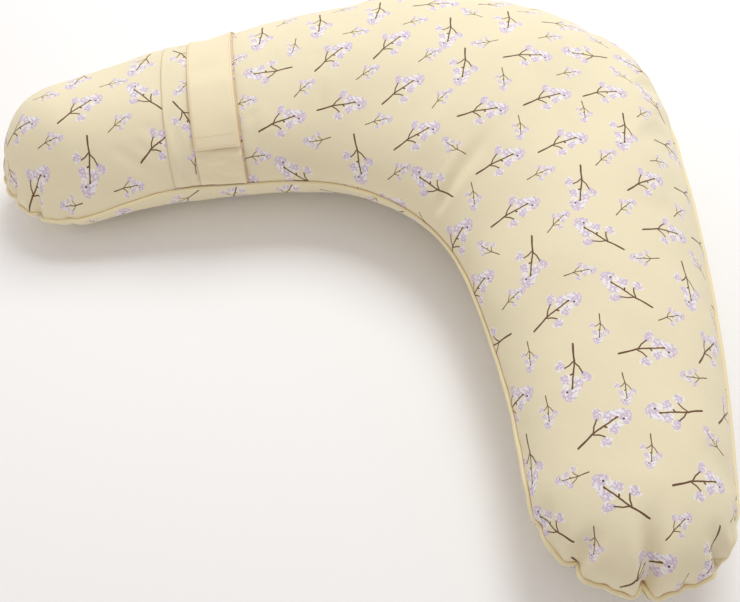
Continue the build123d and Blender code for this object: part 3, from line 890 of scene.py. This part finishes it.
class Nodes:
    """Short calls that add nodes to a tree and link them. An input is a socket, number or tuple."""

    def __init__(self, tree):
        self.tree = tree

    def add(self, kind, inputs=(), **settings):
        node = self.tree.nodes.new(kind)
        for name, value in settings.items():
            setattr(node, name, value)
        for key, value in dict(inputs).items():
            self.put(node.inputs[key], value)
        return node

    def put(self, socket, value):
        if isinstance(value, bpy.types.NodeSocket):
            self.tree.links.new(value, socket)
        else:
            socket.default_value = value

    def math(self, operation, first, second=0.0, clamp=False):
        node = self.add("ShaderNodeMath", {0: first, 1: second}, operation=operation,
                        use_clamp=clamp)
        return node.outputs[0]

    def vector(self, operation, first, second=(0.0, 0.0, 0.0), scale=None):
        inputs = {0: first, 1: second}
        if scale is not None:
            inputs["Scale"] = scale
        node = self.add("ShaderNodeVectorMath", inputs, operation=operation)
        numbers = ("DOT_PRODUCT", "DISTANCE", "LENGTH")
        return node.outputs["Value" if operation in numbers else "Vector"]

    def ramp(self, value, start, end, low=0.0, high=1.0):
        """low before start, high after end, smooth in between."""
        node = self.add("ShaderNodeMapRange", {"Value": value, "From Min": start, "From Max": end,
                                               "To Min": low, "To Max": high},
                        interpolation_type="SMOOTHSTEP")
        return node.outputs["Result"]

    def mix(self, share, first, second, blend="MIX"):
        node = self.add("ShaderNodeMix", data_type="RGBA", blend_type=blend)
        for index, value in ((0, share), (6, first), (7, second)):
            self.put(node.inputs[index], value)
        return node.outputs[2]

    def noise(self, place, scale, detail=2.0, roughness=0.5):
        node = self.add("ShaderNodeTexNoise", {"Vector": place, "Scale": scale, "Detail": detail,
                                               "Roughness": roughness})
        return node.outputs["Fac"], node.outputs["Color"]

    def least(self, values):
        result = values[0]
        for value in values[1:]:
            result = self.math("MINIMUM", result, value)
        return result


def srgb(red, green, blue):
    """A display colour, 0 to 255, as linear light."""
    values = [c / 255 for c in (red, green, blue)]
    linear = [c / 12.92 if c <= 0.04045 else ((c + 0.055) / 1.055) ** 2.4 for c in values]
    return (*linear, 1.0)


def group_of(name, inputs, outputs):
    """An empty node group with its input and output nodes."""
    tree = bpy.data.node_groups.new(name, "ShaderNodeTree")
    for label, kind in inputs:
        tree.interface.new_socket(label, in_out="INPUT", socket_type=kind)
    for label, kind in outputs:
        tree.interface.new_socket(label, in_out="OUTPUT", socket_type=kind)
    nodes = Nodes(tree)
    return tree, nodes, nodes.add("NodeGroupInput"), nodes.add("NodeGroupOutput")


# The sprig, one unit long: it grows from (0, 0) along +Y. Twig: from, to, half thickness.
TWIGS = [
    ((-0.060, 0.00), (-0.050, 0.17), 0.0150),
    ((-0.050, 0.17), (-0.050, 0.33), 0.0140),
    ((-0.050, 0.33), (-0.010, 0.53), 0.0125),
    ((-0.010, 0.53), (0.035, 0.78), 0.0115),
    ((-0.050, 0.34), (-0.115, 0.43), 0.0105),
    ((-0.115, 0.43), (-0.160, 0.54), 0.0105),
    ((-0.045, 0.31), (0.035, 0.375), 0.0110),
    ((0.035, 0.375), (0.115, 0.415), 0.0105),
    ((-0.005, 0.53), (0.035, 0.55), 0.0130),
    ((0.030, 0.77), (0.038, 0.79), 0.0160),
]
# Blossom: middle, radius.
BLOSSOMS = [
    ((0.105, 0.890), 0.112),
    ((0.045, 0.900), 0.086),
    ((0.160, 0.855), 0.073),
    ((-0.050, 0.800), 0.060),
    ((-0.075, 0.705), 0.082),
    ((-0.215, 0.620), 0.075),
    ((-0.180, 0.570), 0.049),
    ((0.140, 0.610), 0.075),
    ((0.110, 0.655), 0.049),
    ((0.185, 0.395), 0.068),
    ((0.200, 0.340), 0.047),
]
# White petals beside the stem: middle, radius.
PETALS = [
    ((-0.015, 0.845), 0.058),
    ((0.135, 0.745), 0.055),
    ((-0.050, 0.625), 0.046),
    ((0.075, 0.590), 0.040),
]
STEM_HEAD = (0.125, 0.840)


def disc_distance(nodes, place, discs):
    """Distance from a place to the edge of the nearest disc, negative inside it."""
    distances = []
    for middle, radius in discs:
        from_middle = nodes.vector("DISTANCE", place, (*middle, 0.0))
        distances.append(nodes.math("SUBTRACT", from_middle, radius))
    return nodes.least(distances)


def sprig_group():
    """Shares of twig, lilac and white at a point in the sprig's own frame."""
    tree, nodes, given, result = group_of(
        "sprig", [("Place", "NodeSocketVector")],
        [("Twig", "NodeSocketFloat"), ("Lilac", "NodeSocketFloat"), ("White", "NodeSocketFloat")])
    place = given.outputs[0]
    _, wobble = nodes.noise(place, 9.0, 2.0)
    wobble = nodes.vector("SUBTRACT", wobble, (0.5, 0.5, 0.5))
    wobble = nodes.vector("MULTIPLY", wobble, (1.0, 1.0, 0.0))
    rough_place = nodes.vector("ADD", place, nodes.vector("SCALE", wobble, scale=0.10))
    bent_place = nodes.vector("ADD", place, nodes.vector("SCALE", wobble, scale=0.018))
    distances = []
    for start, end, thickness in TWIGS:
        run = np.array([end[0] - start[0], end[1] - start[1], 0.0])
        from_start = nodes.vector("SUBTRACT", bent_place, (*start, 0.0))
        share = nodes.vector("DOT_PRODUCT", from_start, tuple(run / (run @ run)))
        share = nodes.math("MULTIPLY", share, 1.0, clamp=True)
        nearest = nodes.vector("SCALE", tuple(run), scale=share)
        distance = nodes.vector("DISTANCE", from_start, nearest)
        distances.append(nodes.math("SUBTRACT", distance, thickness))
    dot = nodes.vector("DISTANCE", place, (*STEM_HEAD, 0.0))
    distances.append(nodes.math("SUBTRACT", dot, 0.019))
    twig = nodes.ramp(nodes.least(distances), 0.006, -0.003)
    head, petal = (disc_distance(nodes, rough_place, discs) for discs in (BLOSSOMS, PETALS))
    dabs, _ = nodes.noise(place, 17.0, 1.0)
    petals, _ = nodes.noise(nodes.vector("ADD", place, (3.1, 1.7, 0.0)), 24.0, 1.0)
    lilac = nodes.ramp(head, 0.008, -0.006)
    edge = nodes.ramp(head, 0.026, 0.014)
    white = nodes.math("MULTIPLY", edge, nodes.ramp(dabs, 0.55, 0.60))
    inner_white = nodes.math("MULTIPLY", lilac, nodes.ramp(petals, 0.62, 0.68))
    white = nodes.math("MAXIMUM", white, inner_white)
    loose_petals = nodes.ramp(petal, 0.008, -0.006)
    loose_petals = nodes.math("MULTIPLY", loose_petals, nodes.ramp(dabs, 0.40, 0.46))
    white = nodes.math("MAXIMUM", white, loose_petals)
    for index, value in enumerate((twig, lilac, white)):
        nodes.put(result.inputs[index], value)
    return tree


def print_group(sprig):
    """The print at a cloth coordinate in metres: colour over the ground cloth."""
    tree, nodes, given, result = group_of(
        "print", [("Cloth", "NodeSocketVector"), ("Ground", "NodeSocketColor")],
        [("Color", "NodeSocketColor")])
    turn = math.radians(-PRINT_TURN)
    start = nodes.vector("SUBTRACT", given.outputs[0], tuple(np.array([*PRINT_START, 0.0]) * MM))
    turned = nodes.add("ShaderNodeVectorRotate", {"Vector": start, "Angle": turn},
                       rotation_type="Z_AXIS").outputs[0]
    size = (REPEAT[0] * MM, REPEAT[1] * MM, 1.0)
    cells = nodes.vector("DIVIDE", turned, size)
    colour = given.outputs[1]
    for shift, length, seed in ((0.5, SPRIG_LENGTH, 3.0), (0.0, SMALL_SPRIG_LENGTH, 11.0)):
        moved = nodes.vector("ADD", cells, (shift, shift, 0.0))
        cell = nodes.vector("FLOOR", moved)
        within = nodes.vector("SUBTRACT", moved, nodes.vector("ADD", cell, (0.5, 0.5, 0.0)))
        within = nodes.vector("MULTIPLY", within, size)
        within = nodes.vector("MULTIPLY", within, (1.0, 1.0, 0.0))
        key = nodes.vector("ADD", cell, (seed, 2 * seed, 0.0))
        chance = nodes.add("ShaderNodeTexWhiteNoise", {"Vector": key}, noise_dimensions="2D")
        pick = nodes.add("ShaderNodeValToRGB", {"Fac": chance.outputs["Value"]})
        ramp = pick.color_ramp
        ramp.interpolation = "CONSTANT"
        while len(ramp.elements) < len(GROWTH):
            ramp.elements.new(1.0)
        for index, (element, value) in enumerate(zip(ramp.elements, GROWTH)):
            element.position = index / len(GROWTH)
            element.color = (value, value, value, 1.0)
        chosen = nodes.add("ShaderNodeSeparateColor", {0: pick.outputs["Color"]}).outputs[0]
        angle = nodes.math("MULTIPLY", chosen, -2 * math.pi)
        angle = nodes.math("ADD", angle, math.pi / 2)
        spun = nodes.add("ShaderNodeVectorRotate", {"Vector": within, "Angle": angle},
                         rotation_type="Z_AXIS").outputs[0]
        jitter = nodes.vector("SUBTRACT", chance.outputs["Color"], (0.5, 0.5, 0.5))
        jitter = nodes.vector("MULTIPLY", jitter, (SPRIG_JITTER[0] * MM, SPRIG_JITTER[1] * MM, 0.0))
        spun = nodes.vector("ADD", spun, jitter)
        unit = nodes.vector("SCALE", spun, scale=1.0 / (length * MM))
        unit = nodes.vector("ADD", unit, (*SPRIG_MIDDLE, 0.0))
        drawn = nodes.add("ShaderNodeGroup", node_tree=sprig)
        nodes.put(drawn.inputs[0], unit)
        twig, lilac, white = drawn.outputs
        tone, _ = nodes.noise(unit, 30.0, 1.0)
        lilac_colour = nodes.mix(tone, srgb(203, 184, 206), srgb(227, 213, 226))
        colour = nodes.mix(lilac, colour, lilac_colour)
        colour = nodes.mix(white, colour, srgb(246, 243, 246))
        brown = nodes.mix(tone, srgb(88, 60, 40), srgb(124, 90, 62))
        colour = nodes.mix(twig, colour, brown)
    nodes.put(result.inputs[0], colour)
    return tree


def weave_height(nodes, place, pitch):
    """Height of a plain weave at a cloth coordinate: threads over and under one another."""
    parts = nodes.add("ShaderNodeSeparateXYZ", {0: place})
    waves = []
    for socket in (parts.outputs[0], parts.outputs[1]):
        angle = nodes.math("MULTIPLY", socket, math.pi / (pitch * MM))
        waves.append(nodes.math("SINE", angle))
    crossing = nodes.math("MULTIPLY", waves[0], waves[1])
    slub, _ = nodes.noise(nodes.vector("MULTIPLY", place, (1.0, 6.0, 1.0)), 420.0, 2.0)
    return nodes.math("ADD", nodes.math("MULTIPLY", crossing, 0.5), slub)


def material(name, build, **settings):
    made = bpy.data.materials.new(name)
    made.use_nodes = True
    made.node_tree.nodes.clear()
    nodes = Nodes(made.node_tree)
    shader = nodes.add("ShaderNodeBsdfPrincipled")
    output = nodes.add("ShaderNodeOutputMaterial", {"Surface": shader.outputs[0]})
    output.is_active_output = True
    build(nodes, shader, **settings)
    return made


def cotton(nodes, shader, ground, printed=None, pitch=0.55, turned_edge=None):
    """Cotton cloth with its weave, soft unevenness and creases too small for the mesh.

    For a strip, given its half width, a thin line of painted shade darkens the colour along its long
    edges.
    """
    cloth = nodes.add("ShaderNodeUVMap", uv_map="cloth").outputs[0]
    solid = nodes.add("ShaderNodeTexCoord").outputs["Object"]
    broad, _ = nodes.noise(solid, 9.0, 3.0)
    fine, _ = nodes.noise(cloth, 900.0, 2.0)
    darker = (*(0.95 * c for c in ground[:3]), 1.0)
    colour = nodes.mix(nodes.ramp(broad, 0.3, 0.7), ground, darker)
    colour = nodes.mix(nodes.math("MULTIPLY", fine, 0.12), colour, srgb(255, 248, 226))
    if printed is not None:
        drawn = nodes.add("ShaderNodeGroup", node_tree=printed)
        nodes.put(drawn.inputs[0], cloth)
        nodes.put(drawn.inputs[1], colour)
        colour = drawn.outputs[0]
    # Painted shade: an ambient occlusion mask tints crevices, folds and the groove beside the piping
    # orange-brown, standing in for the warm shadow in the cloth's hollows.
    hidden = nodes.add("ShaderNodeAmbientOcclusion", {"Distance": 0.005}, samples=8)
    painted_shade = nodes.ramp(hidden.outputs["AO"], 0.12, 0.62, 1.0, 0.0)
    # Painted shade: a thin orange-brown line along a strip's long edges, where the turned edge lies
    # in shade.
    if turned_edge is not None:
        across = nodes.math("ABSOLUTE", nodes.add("ShaderNodeSeparateXYZ", {0: cloth}).outputs[0])
        edge = nodes.ramp(across, (turned_edge - 1.4) * MM, (turned_edge - 0.6) * MM, 0.0, 0.6)
        painted_shade = nodes.math("MAXIMUM", painted_shade, edge)
    # Where the painted shade mask is high, the colour is multiplied towards the orange-brown shade
    # tint.
    colour = nodes.mix(painted_shade, colour, nodes.mix(0.75, colour, SHADE_TINT, "MULTIPLY"))
    nodes.put(shader.inputs["Base Color"], colour)
    crumple, _ = nodes.noise(solid, 46.0, 4.0, 0.55)
    weave = weave_height(nodes, cloth, pitch)
    first = nodes.add("ShaderNodeBump", {"Height": crumple, "Strength": 0.35, "Distance": 0.0016})
    second = nodes.add("ShaderNodeBump", {"Height": weave, "Strength": 0.35, "Distance": 0.00012,
                                          "Normal": first.outputs[0]})
    nodes.put(shader.inputs["Normal"], second.outputs[0])
    nodes.put(shader.inputs["Roughness"], nodes.ramp(fine, 0.2, 0.8, 0.78, 0.92))
    shader.inputs["Sheen Weight"].default_value = 0.18
    shader.inputs["Sheen Roughness"].default_value = 0.45
    shader.inputs["Specular IOR Level"].default_value = 0.25


GROUND = srgb(240, 230, 197)
PLAIN = srgb(246, 233, 198)
# Orange-brown tint of the painted shade in the cloth's crevices and along the strips' edges.
SHADE_TINT = srgb(214, 164, 96)
SPRIG = sprig_group()
PRINT = print_group(SPRIG)
printed_cotton = material("printed_cotton", cotton, ground=GROUND, printed=PRINT)
# The band and the straps get a line of painted shade along their long edges.
band_cotton = material("band_cotton", cotton, ground=GROUND, printed=PRINT,
                       turned_edge=BAND_WIDTH / 2)
strap_cotton = material("strap_cotton", cotton, ground=PLAIN, turned_edge=STRAP_WIDTH / 2)
piping_cotton = material("piping_cotton", cotton, ground=srgb(244, 232, 190), pitch=0.45)


def thread(nodes, shader):
    solid = nodes.add("ShaderNodeTexCoord").outputs["Object"]
    fine, _ = nodes.noise(solid, 2600.0, 2.0)
    nodes.put(shader.inputs["Base Color"], nodes.mix(fine, srgb(226, 200, 152), srgb(250, 232, 196)))
    bump = nodes.add("ShaderNodeBump", {"Height": fine, "Strength": 0.3, "Distance": 0.0001})
    nodes.put(shader.inputs["Normal"], bump.outputs[0])
    shader.inputs["Roughness"].default_value = 0.6


def fleece(nodes, shader, first, second, scale):
    """Loose or looped fibre."""
    solid = nodes.add("ShaderNodeTexCoord").outputs["Object"]
    fibre, _ = nodes.noise(solid, scale, 5.0, 0.7)
    nodes.put(shader.inputs["Base Color"], nodes.mix(fibre, first, second))
    bump = nodes.add("ShaderNodeBump", {"Height": fibre, "Strength": 0.8, "Distance": 0.0006})
    nodes.put(shader.inputs["Normal"], bump.outputs[0])
    shader.inputs["Roughness"].default_value = 0.95
    shader.inputs["Sheen Weight"].default_value = 0.3


def ribbed_tape(nodes, shader):
    """Zip tape: fine ribs along the tape, with painted shade in the grooves between them."""
    solid = nodes.add("ShaderNodeTexCoord").outputs["Object"]
    height = nodes.add("ShaderNodeSeparateXYZ", {0: solid}).outputs[2]
    ribs = nodes.math("SINE", nodes.math("MULTIPLY", height, 2 * math.pi / 0.0009))
    grain, _ = nodes.noise(solid, 1500.0, 2.0)
    # The colour follows the rib height and is darker in the grooves: painted shade.
    colour = nodes.mix(nodes.ramp(ribs, -1.0, 1.0), srgb(228, 208, 160), srgb(247, 230, 188))
    nodes.put(shader.inputs["Base Color"], nodes.mix(nodes.math("MULTIPLY", grain, 0.3), colour,
                                                     srgb(252, 240, 210)))
    bump = nodes.add("ShaderNodeBump", {"Height": ribs, "Strength": 0.5, "Distance": 0.0002})
    nodes.put(shader.inputs["Normal"], bump.outputs[0])
    shader.inputs["Roughness"].default_value = 0.85


def nylon(nodes, shader):
    solid = nodes.add("ShaderNodeTexCoord").outputs["Object"]
    tone, _ = nodes.noise(solid, 400.0, 2.0)
    nodes.put(shader.inputs["Base Color"], nodes.mix(tone, srgb(236, 218, 172), srgb(250, 238, 204)))
    shader.inputs["Roughness"].default_value = 0.38


def brushed_metal(nodes, shader):
    solid = nodes.add("ShaderNodeTexCoord").outputs["Object"]
    streaks, _ = nodes.noise(nodes.vector("MULTIPLY", solid, (1.0, 1.0, 9.0)), 900.0, 3.0)
    wear, _ = nodes.noise(solid, 260.0, 4.0)
    nodes.put(shader.inputs["Base Color"], nodes.mix(wear, srgb(186, 184, 178), srgb(222, 220, 214)))
    nodes.put(shader.inputs["Roughness"], nodes.ramp(streaks, 0.3, 0.7, 0.26, 0.42))
    bump = nodes.add("ShaderNodeBump", {"Height": streaks, "Strength": 0.15, "Distance": 0.00005})
    nodes.put(shader.inputs["Normal"], bump.outputs[0])
    shader.inputs["Metallic"].default_value = 1.0


stitch_thread = material("stitch_thread", thread)
loop_pile = material("loop_pile", fleece, first=srgb(226, 206, 160),
                     second=srgb(250, 236, 204), scale=1500.0)
hook_tape = material("hook_tape", fleece, first=srgb(206, 186, 142),
                     second=srgb(240, 224, 186), scale=2200.0)
fibre_fill = material("fibre_fill", fleece, first=srgb(232, 232, 230),
                      second=srgb(252, 252, 250), scale=220.0)
lining = material("lining", cotton, ground=srgb(240, 238, 230), pitch=0.6)
label_cloth = material("label_cloth", cotton, ground=srgb(246, 245, 240), pitch=0.4)
tape_cloth = material("tape_cloth", ribbed_tape)
zip_nylon = material("zip_nylon", nylon)
zip_metal = material("zip_metal", brushed_metal)


def finish_piece(thing, made, body):
    thing.data.materials.clear()
    thing.data.materials.append(made)
    if body is not None:
        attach(thing, body)
    return thing


# --- build -----------------------------------------------------------------------------------------

cover, seam_line = make_cover()
finish_piece(cover, printed_cotton, "pillow")
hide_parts("top_panel", "bottom_panel")

piping = make_piping(seam_line)
finish_piece(piping, piping_cotton, "pillow")
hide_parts("piping_cover", "piping_cord")


def inner_body(name, inset, made, slot, *nodes):
    """A closed body inside the cover, clear of the zip's recess and of the folds."""
    top, top_flat = panel(inset, True)
    lower, lower_flat = panel(inset, False)
    thing, _ = closed_body(name, settle(top), settle(lower), top_flat, lower_flat)
    finish_piece(thing, made, "pillow")
    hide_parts(*nodes)
    return thing


inner_body("inner_case", INNER_CASE_INSET, lining, "lining", "inner_case_top", "inner_case_bottom")
inner_body("fibre_filling", FILLING_INSET, fibre_fill, "filling", "filling")

arm = ArmSurface(cover, *ARM_STRETCH)
patch_start, patch_finish = (arm.share_at(end) for end in PATCH_ENDS)
strap_end = arm.share_at(STRAP_END)
short_end = arm.share_at(SHORT_END)


def band_lift(shares, place):
    """Low, with gathers towards the crook where the straps don't cover it."""
    waves = np.sin(place * 0.40 + shares * 16.0) + 0.5 * np.sin(place * 0.71 - shares * 25.0)
    gathered = 1.0 - smooth_step(shares, 0.12, 0.42)
    bare = smooth_step(-place, 11.0, 17.0)
    return BAND_LIFT + 0.9 * np.maximum(waves, -0.25) * gathered * bare


def short_lift(shares, place):
    """Over the band, creased across where the long strap leaves it bare."""
    waves = np.sin(place * 0.09 + 105.0 * shares) + 0.6 * np.sin(160.0 * shares - place * 0.17)
    bare = 1.0 - smooth_step(shares, strap_end - 0.03, strap_end + 0.02)
    return SHORT_LIFT + np.maximum(waves + 0.7, 0.0) * bare


def long_lift(shares, place):
    """Over the patches, with its edges fallen past them, then down on the band to its root."""
    stacked = 1.0 - smooth_step(shares, patch_finish + 0.01, patch_finish + 0.12)
    rooted = 1.0 - smooth_step(shares, 0.93, ROOT_SHARE)
    soft = 0.15 * np.sin(place * 0.12 + 14.0 * shares)
    fallen = EDGE_FALL * smooth_step(abs(place), PATCH_WIDTH / 2, STRAP_WIDTH / 2)
    return LONG_LIFT + (PATCH_STACK - fallen) * stacked * rooted + soft


band = strip("printed_band_cloth", arm, BAND_SHIFT, BAND_WIDTH, *BAND_SHARES, band_lift,
             BAND_THICKNESS, cells=34)
subdivide(band)
finish_piece(band, band_cotton, "pillow")
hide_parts("printed_band")

short_strap = strip("short_strap_cloth", arm, 0.0, STRAP_WIDTH, SHORT_START_SHARE, short_end,
                    short_lift, SHORT_THICKNESS)
subdivide(short_strap)
finish_piece(short_strap, strap_cotton, "pillow")
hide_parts("strap_short")

loops = strip("loop_patch_pile", arm, 0.0, PATCH_WIDTH, patch_start, patch_finish,
              LOOP_LIFT, LOOP_THICKNESS)
finish_piece(loops, loop_pile, "pillow")
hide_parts("loop_patch")

hooks = strip("hook_patch_tape", arm, 0.0, PATCH_WIDTH, patch_start, patch_finish,
              HOOK_LIFT, HOOK_THICKNESS)
finish_piece(hooks, hook_tape, "strap")
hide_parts("hook_patch")

long_strap = strip("long_strap_cloth", arm, 0.0, STRAP_WIDTH, strap_end, ROOT_SHARE, long_lift,
                   LONG_THICKNESS)
subdivide(long_strap)
finish_piece(long_strap, strap_cotton, None)
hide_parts("strap_long")


def strap_stitching():
    """Stitches along the long strap's two edges, and in two rows across its free end."""
    edge = STRAP_WIDTH / 2 - STITCH_INSET
    ends = [strap_end + inset / arm.length() for inset in STITCH_END_ROWS]
    run = np.linspace(ends[0], STITCH_FINISH_SHARE, 90)
    across = np.linspace(-edge, edge, 30)
    rows = [(np.full_like(run, place), run) for place in (-edge, edge)]
    rows += [(across, np.full_like(across, end)) for end in ends]
    points, faces = [], []
    for places, shares in rows:
        line, ups = [], []
        for place, share in zip(places, shares):
            spot, normal = arm.row(place, np.array([share]))
            lift = long_lift(np.array([share]), place)[0] + LONG_THICKNESS + STITCH_LIFT
            line.append(spot[0] + normal[0] * lift)
            ups.append(normal[0])
        more, their_faces = stitches(np.array(line), np.array(ups))
        faces += [[i + len(points) for i in face] for face in their_faces]
        points += more
    return new_object("long_strap_stitching", np.array(points), faces)


strap_seams = strap_stitching()
finish_piece(strap_seams, stitch_thread, None)

root_row, _ = arm.row(0.0, np.array([ROOT_SHARE, ROOT_SHARE - BLEND_SHARE]))
for thing in (long_strap, strap_seams):
    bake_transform(thing)


def zip_loops(node, side):
    """Coil of one zip side: a row of wire loops on the tape's edge, in the CAD coil's place."""
    low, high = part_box(node)
    middle = (low[2] + high[2]) / 2 / MM
    half_height = (high[2] - low[2]) / 2 / MM
    reach = max(high[1] / MM - OUTER_BEND[1], 1.0)
    half_angle = math.degrees(math.asin((high[0] - low[0]) / 2 / MM / reach))
    count = int(math.radians(2 * half_angle) * reach / LOOP_PITCH)
    points, faces = [], []
    steps, sides = 10, 6
    for i in range(count):
        turn = math.radians(90.0 - half_angle + 2 * half_angle * (i + 0.5) / count)
        out = np.array([math.cos(turn), math.sin(turn), 0.0])
        along = np.array([-out[1], out[0], 0.0])
        centre = np.append(OUTER_BEND, middle) + out * (reach - LOOP_BACK)
        faces += tube_faces(steps, sides, len(points), closed=True)
        for s in range(steps):
            angle = 2 * math.pi * s / steps
            across = half_height * math.cos(angle) * LOOP_HEIGHT_SHARE
            depth = LOOP_DEPTH * math.sin(angle)
            slant = LOOP_SLANT * math.sin(angle) * side
            spot = centre + UP * across + out * depth + along * slant
            inwards = -(UP * math.cos(angle) + out * math.sin(angle))
            for k in range(sides):
                around = 2 * math.pi * k / sides
                points.append(spot + inwards * WIRE_HALF_DEPTH * math.cos(around)
                              + along * WIRE_HALF_WIDTH * math.sin(around))
    return new_object(node + "_loops", np.array(points), faces)


for node, side in (("zip_coil_upper", 1), ("zip_coil_lower", -1)):
    coil = zip_loops(node, side)
    finish_piece(coil, zip_nylon, "pillow")
    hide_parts(node)

CARRIED = {
    "zip_tape_upper": tape_cloth, "zip_tape_lower": tape_cloth, "zip_top_stops": zip_metal,
    "zip_bottom_stop": zip_metal, "zip_slider": zip_metal, "zip_pull_tab": zip_metal,
}
for node, made in CARRIED.items():
    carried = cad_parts[node]
    for slot_place in carried.material_slots:
        slot_place.link = "OBJECT"
        slot_place.material = made


def make_label():
    """The care label: a folded white cloth tab behind the zip, with no text."""
    low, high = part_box("care_label")
    middle = np.array([(low[0] + high[0]) / 2, (low[1] + high[1]) / 2]) / MM
    turn = bearing(OUTER_BEND, middle)
    drops = np.linspace(*LABEL_DROPS, 15)
    turns = np.linspace(-LABEL_TURN, LABEL_TURN, 25)
    count = len(turns)
    points = []
    for drop in drops:
        fall = LABEL_CURVE * (1.0 - math.sqrt(1.0 - (drop / LOWER_DEPTH) ** 2))
        for t in turns:
            radius = OUTER_BEND_RADIUS - fall - LABEL_GAP - 0.3 * math.sin(t)
            points.append(np.append(polar(OUTER_BEND, radius, turn + t), SEAM_HEIGHT - drop))
    faces = [[start + k, start + k + 1, start + count + k + 1, start + count + k]
             for start in range(0, (len(drops) - 1) * count, count) for k in range(count - 1)]
    uvs = [(turns[v % count] * LABEL_DEGREE, drops[v // count]) for face in faces for v in face]
    thing = new_object("care_label_cloth", points, faces, uvs)
    thickness = thing.modifiers.new("thickness", "SOLIDIFY")
    thickness.thickness = LABEL_THICKNESS * MM
    replace_mesh(thing)
    return thing


label = make_label()
finish_piece(label, label_cloth, "pillow")
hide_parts("care_label")


# --- stage -----------------------------------------------------------------------------------------

FLOOR_REACH = 6000.0
CAMERA_PLACE = (0.32035, -0.50822, 0.72445)
CAMERA_FORWARD = (-0.34849, 0.42539, -0.83522)
CAMERA_RIGHT = (0.79824, 0.60175, -0.02658)
CAMERA_LENS = 39.32
# Lamps: name, place, target, size, power, colour, spread in degrees.
LAMPS = [
    ("key", (-0.45, 1.35, 2.0), (0.0, 0.0, 0.05), 1.2, 33.0, (0.97, 1.0, 1.0), 180.0),
    ("fill", (-1.3, 0.7, 1.7), (0.0, 0.0, 0.05), 1.6, 4.0, (1.0, 1.0, 1.0), 180.0),
    ("front", (-0.38, -1.05, 0.50), (-0.18, -0.14, 0.04), 0.45, 0.06, (1.0, 0.96, 0.93), 50.0),
]
SKY_COLOUR = (1.0, 0.935, 0.91, 1.0)
SKY_STRENGTH = 0.58


def make_floor():
    corners = [(-1, -1, 0), (1, -1, 0), (1, 1, 0), (-1, 1, 0)]
    floor = new_object("floor", np.array(corners) * FLOOR_REACH, [[0, 1, 2, 3]], smooth=False)
    floor.location.z = -0.0005
    made = bpy.data.materials.new("floor")
    made.use_nodes = True
    shader = made.node_tree.nodes["Principled BSDF"]
    shader.inputs["Base Color"].default_value = srgb(250, 250, 250)
    shader.inputs["Roughness"].default_value = 0.9
    floor.data.materials.append(made)


def area_light(name, place, target, size, power, colour, spread):
    data = bpy.data.lights.new(name, "AREA")
    data.size = size
    data.spread = math.radians(spread)
    data.energy = power
    data.color = colour
    light = bpy.data.objects.new(name, data)
    bpy.context.collection.objects.link(light)
    light.location = place
    direction = Vector(target) - Vector(place)
    light.rotation_euler = direction.to_track_quat("-Z", "Y").to_euler()


def make_camera():
    """A camera over the front right, that looks steeply down."""
    data = bpy.data.cameras.new("camera")
    data.sensor_width = 36.0
    data.lens = CAMERA_LENS
    data.clip_end = 50.0
    camera = bpy.data.objects.new("camera", data)
    bpy.context.collection.objects.link(camera)
    forward = Vector(CAMERA_FORWARD).normalized()
    right = Vector(CAMERA_RIGHT)
    right = (right - right.dot(forward) * forward).normalized()
    up = right.cross(forward)
    turned = Matrix((right, up, -forward)).transposed().to_4x4()
    camera.matrix_world = Matrix.Translation(CAMERA_PLACE) @ turned
    bpy.context.scene.camera = camera


make_floor()
make_camera()
for lamp in LAMPS:
    area_light(*lamp)
world = bpy.data.worlds.new("studio")
bpy.context.scene.world = world
world.use_nodes = True
world.node_tree.nodes["Background"].inputs["Color"].default_value = SKY_COLOUR
world.node_tree.nodes["Background"].inputs["Strength"].default_value = SKY_STRENGTH
bpy.context.scene.view_settings.view_transform = "Standard"
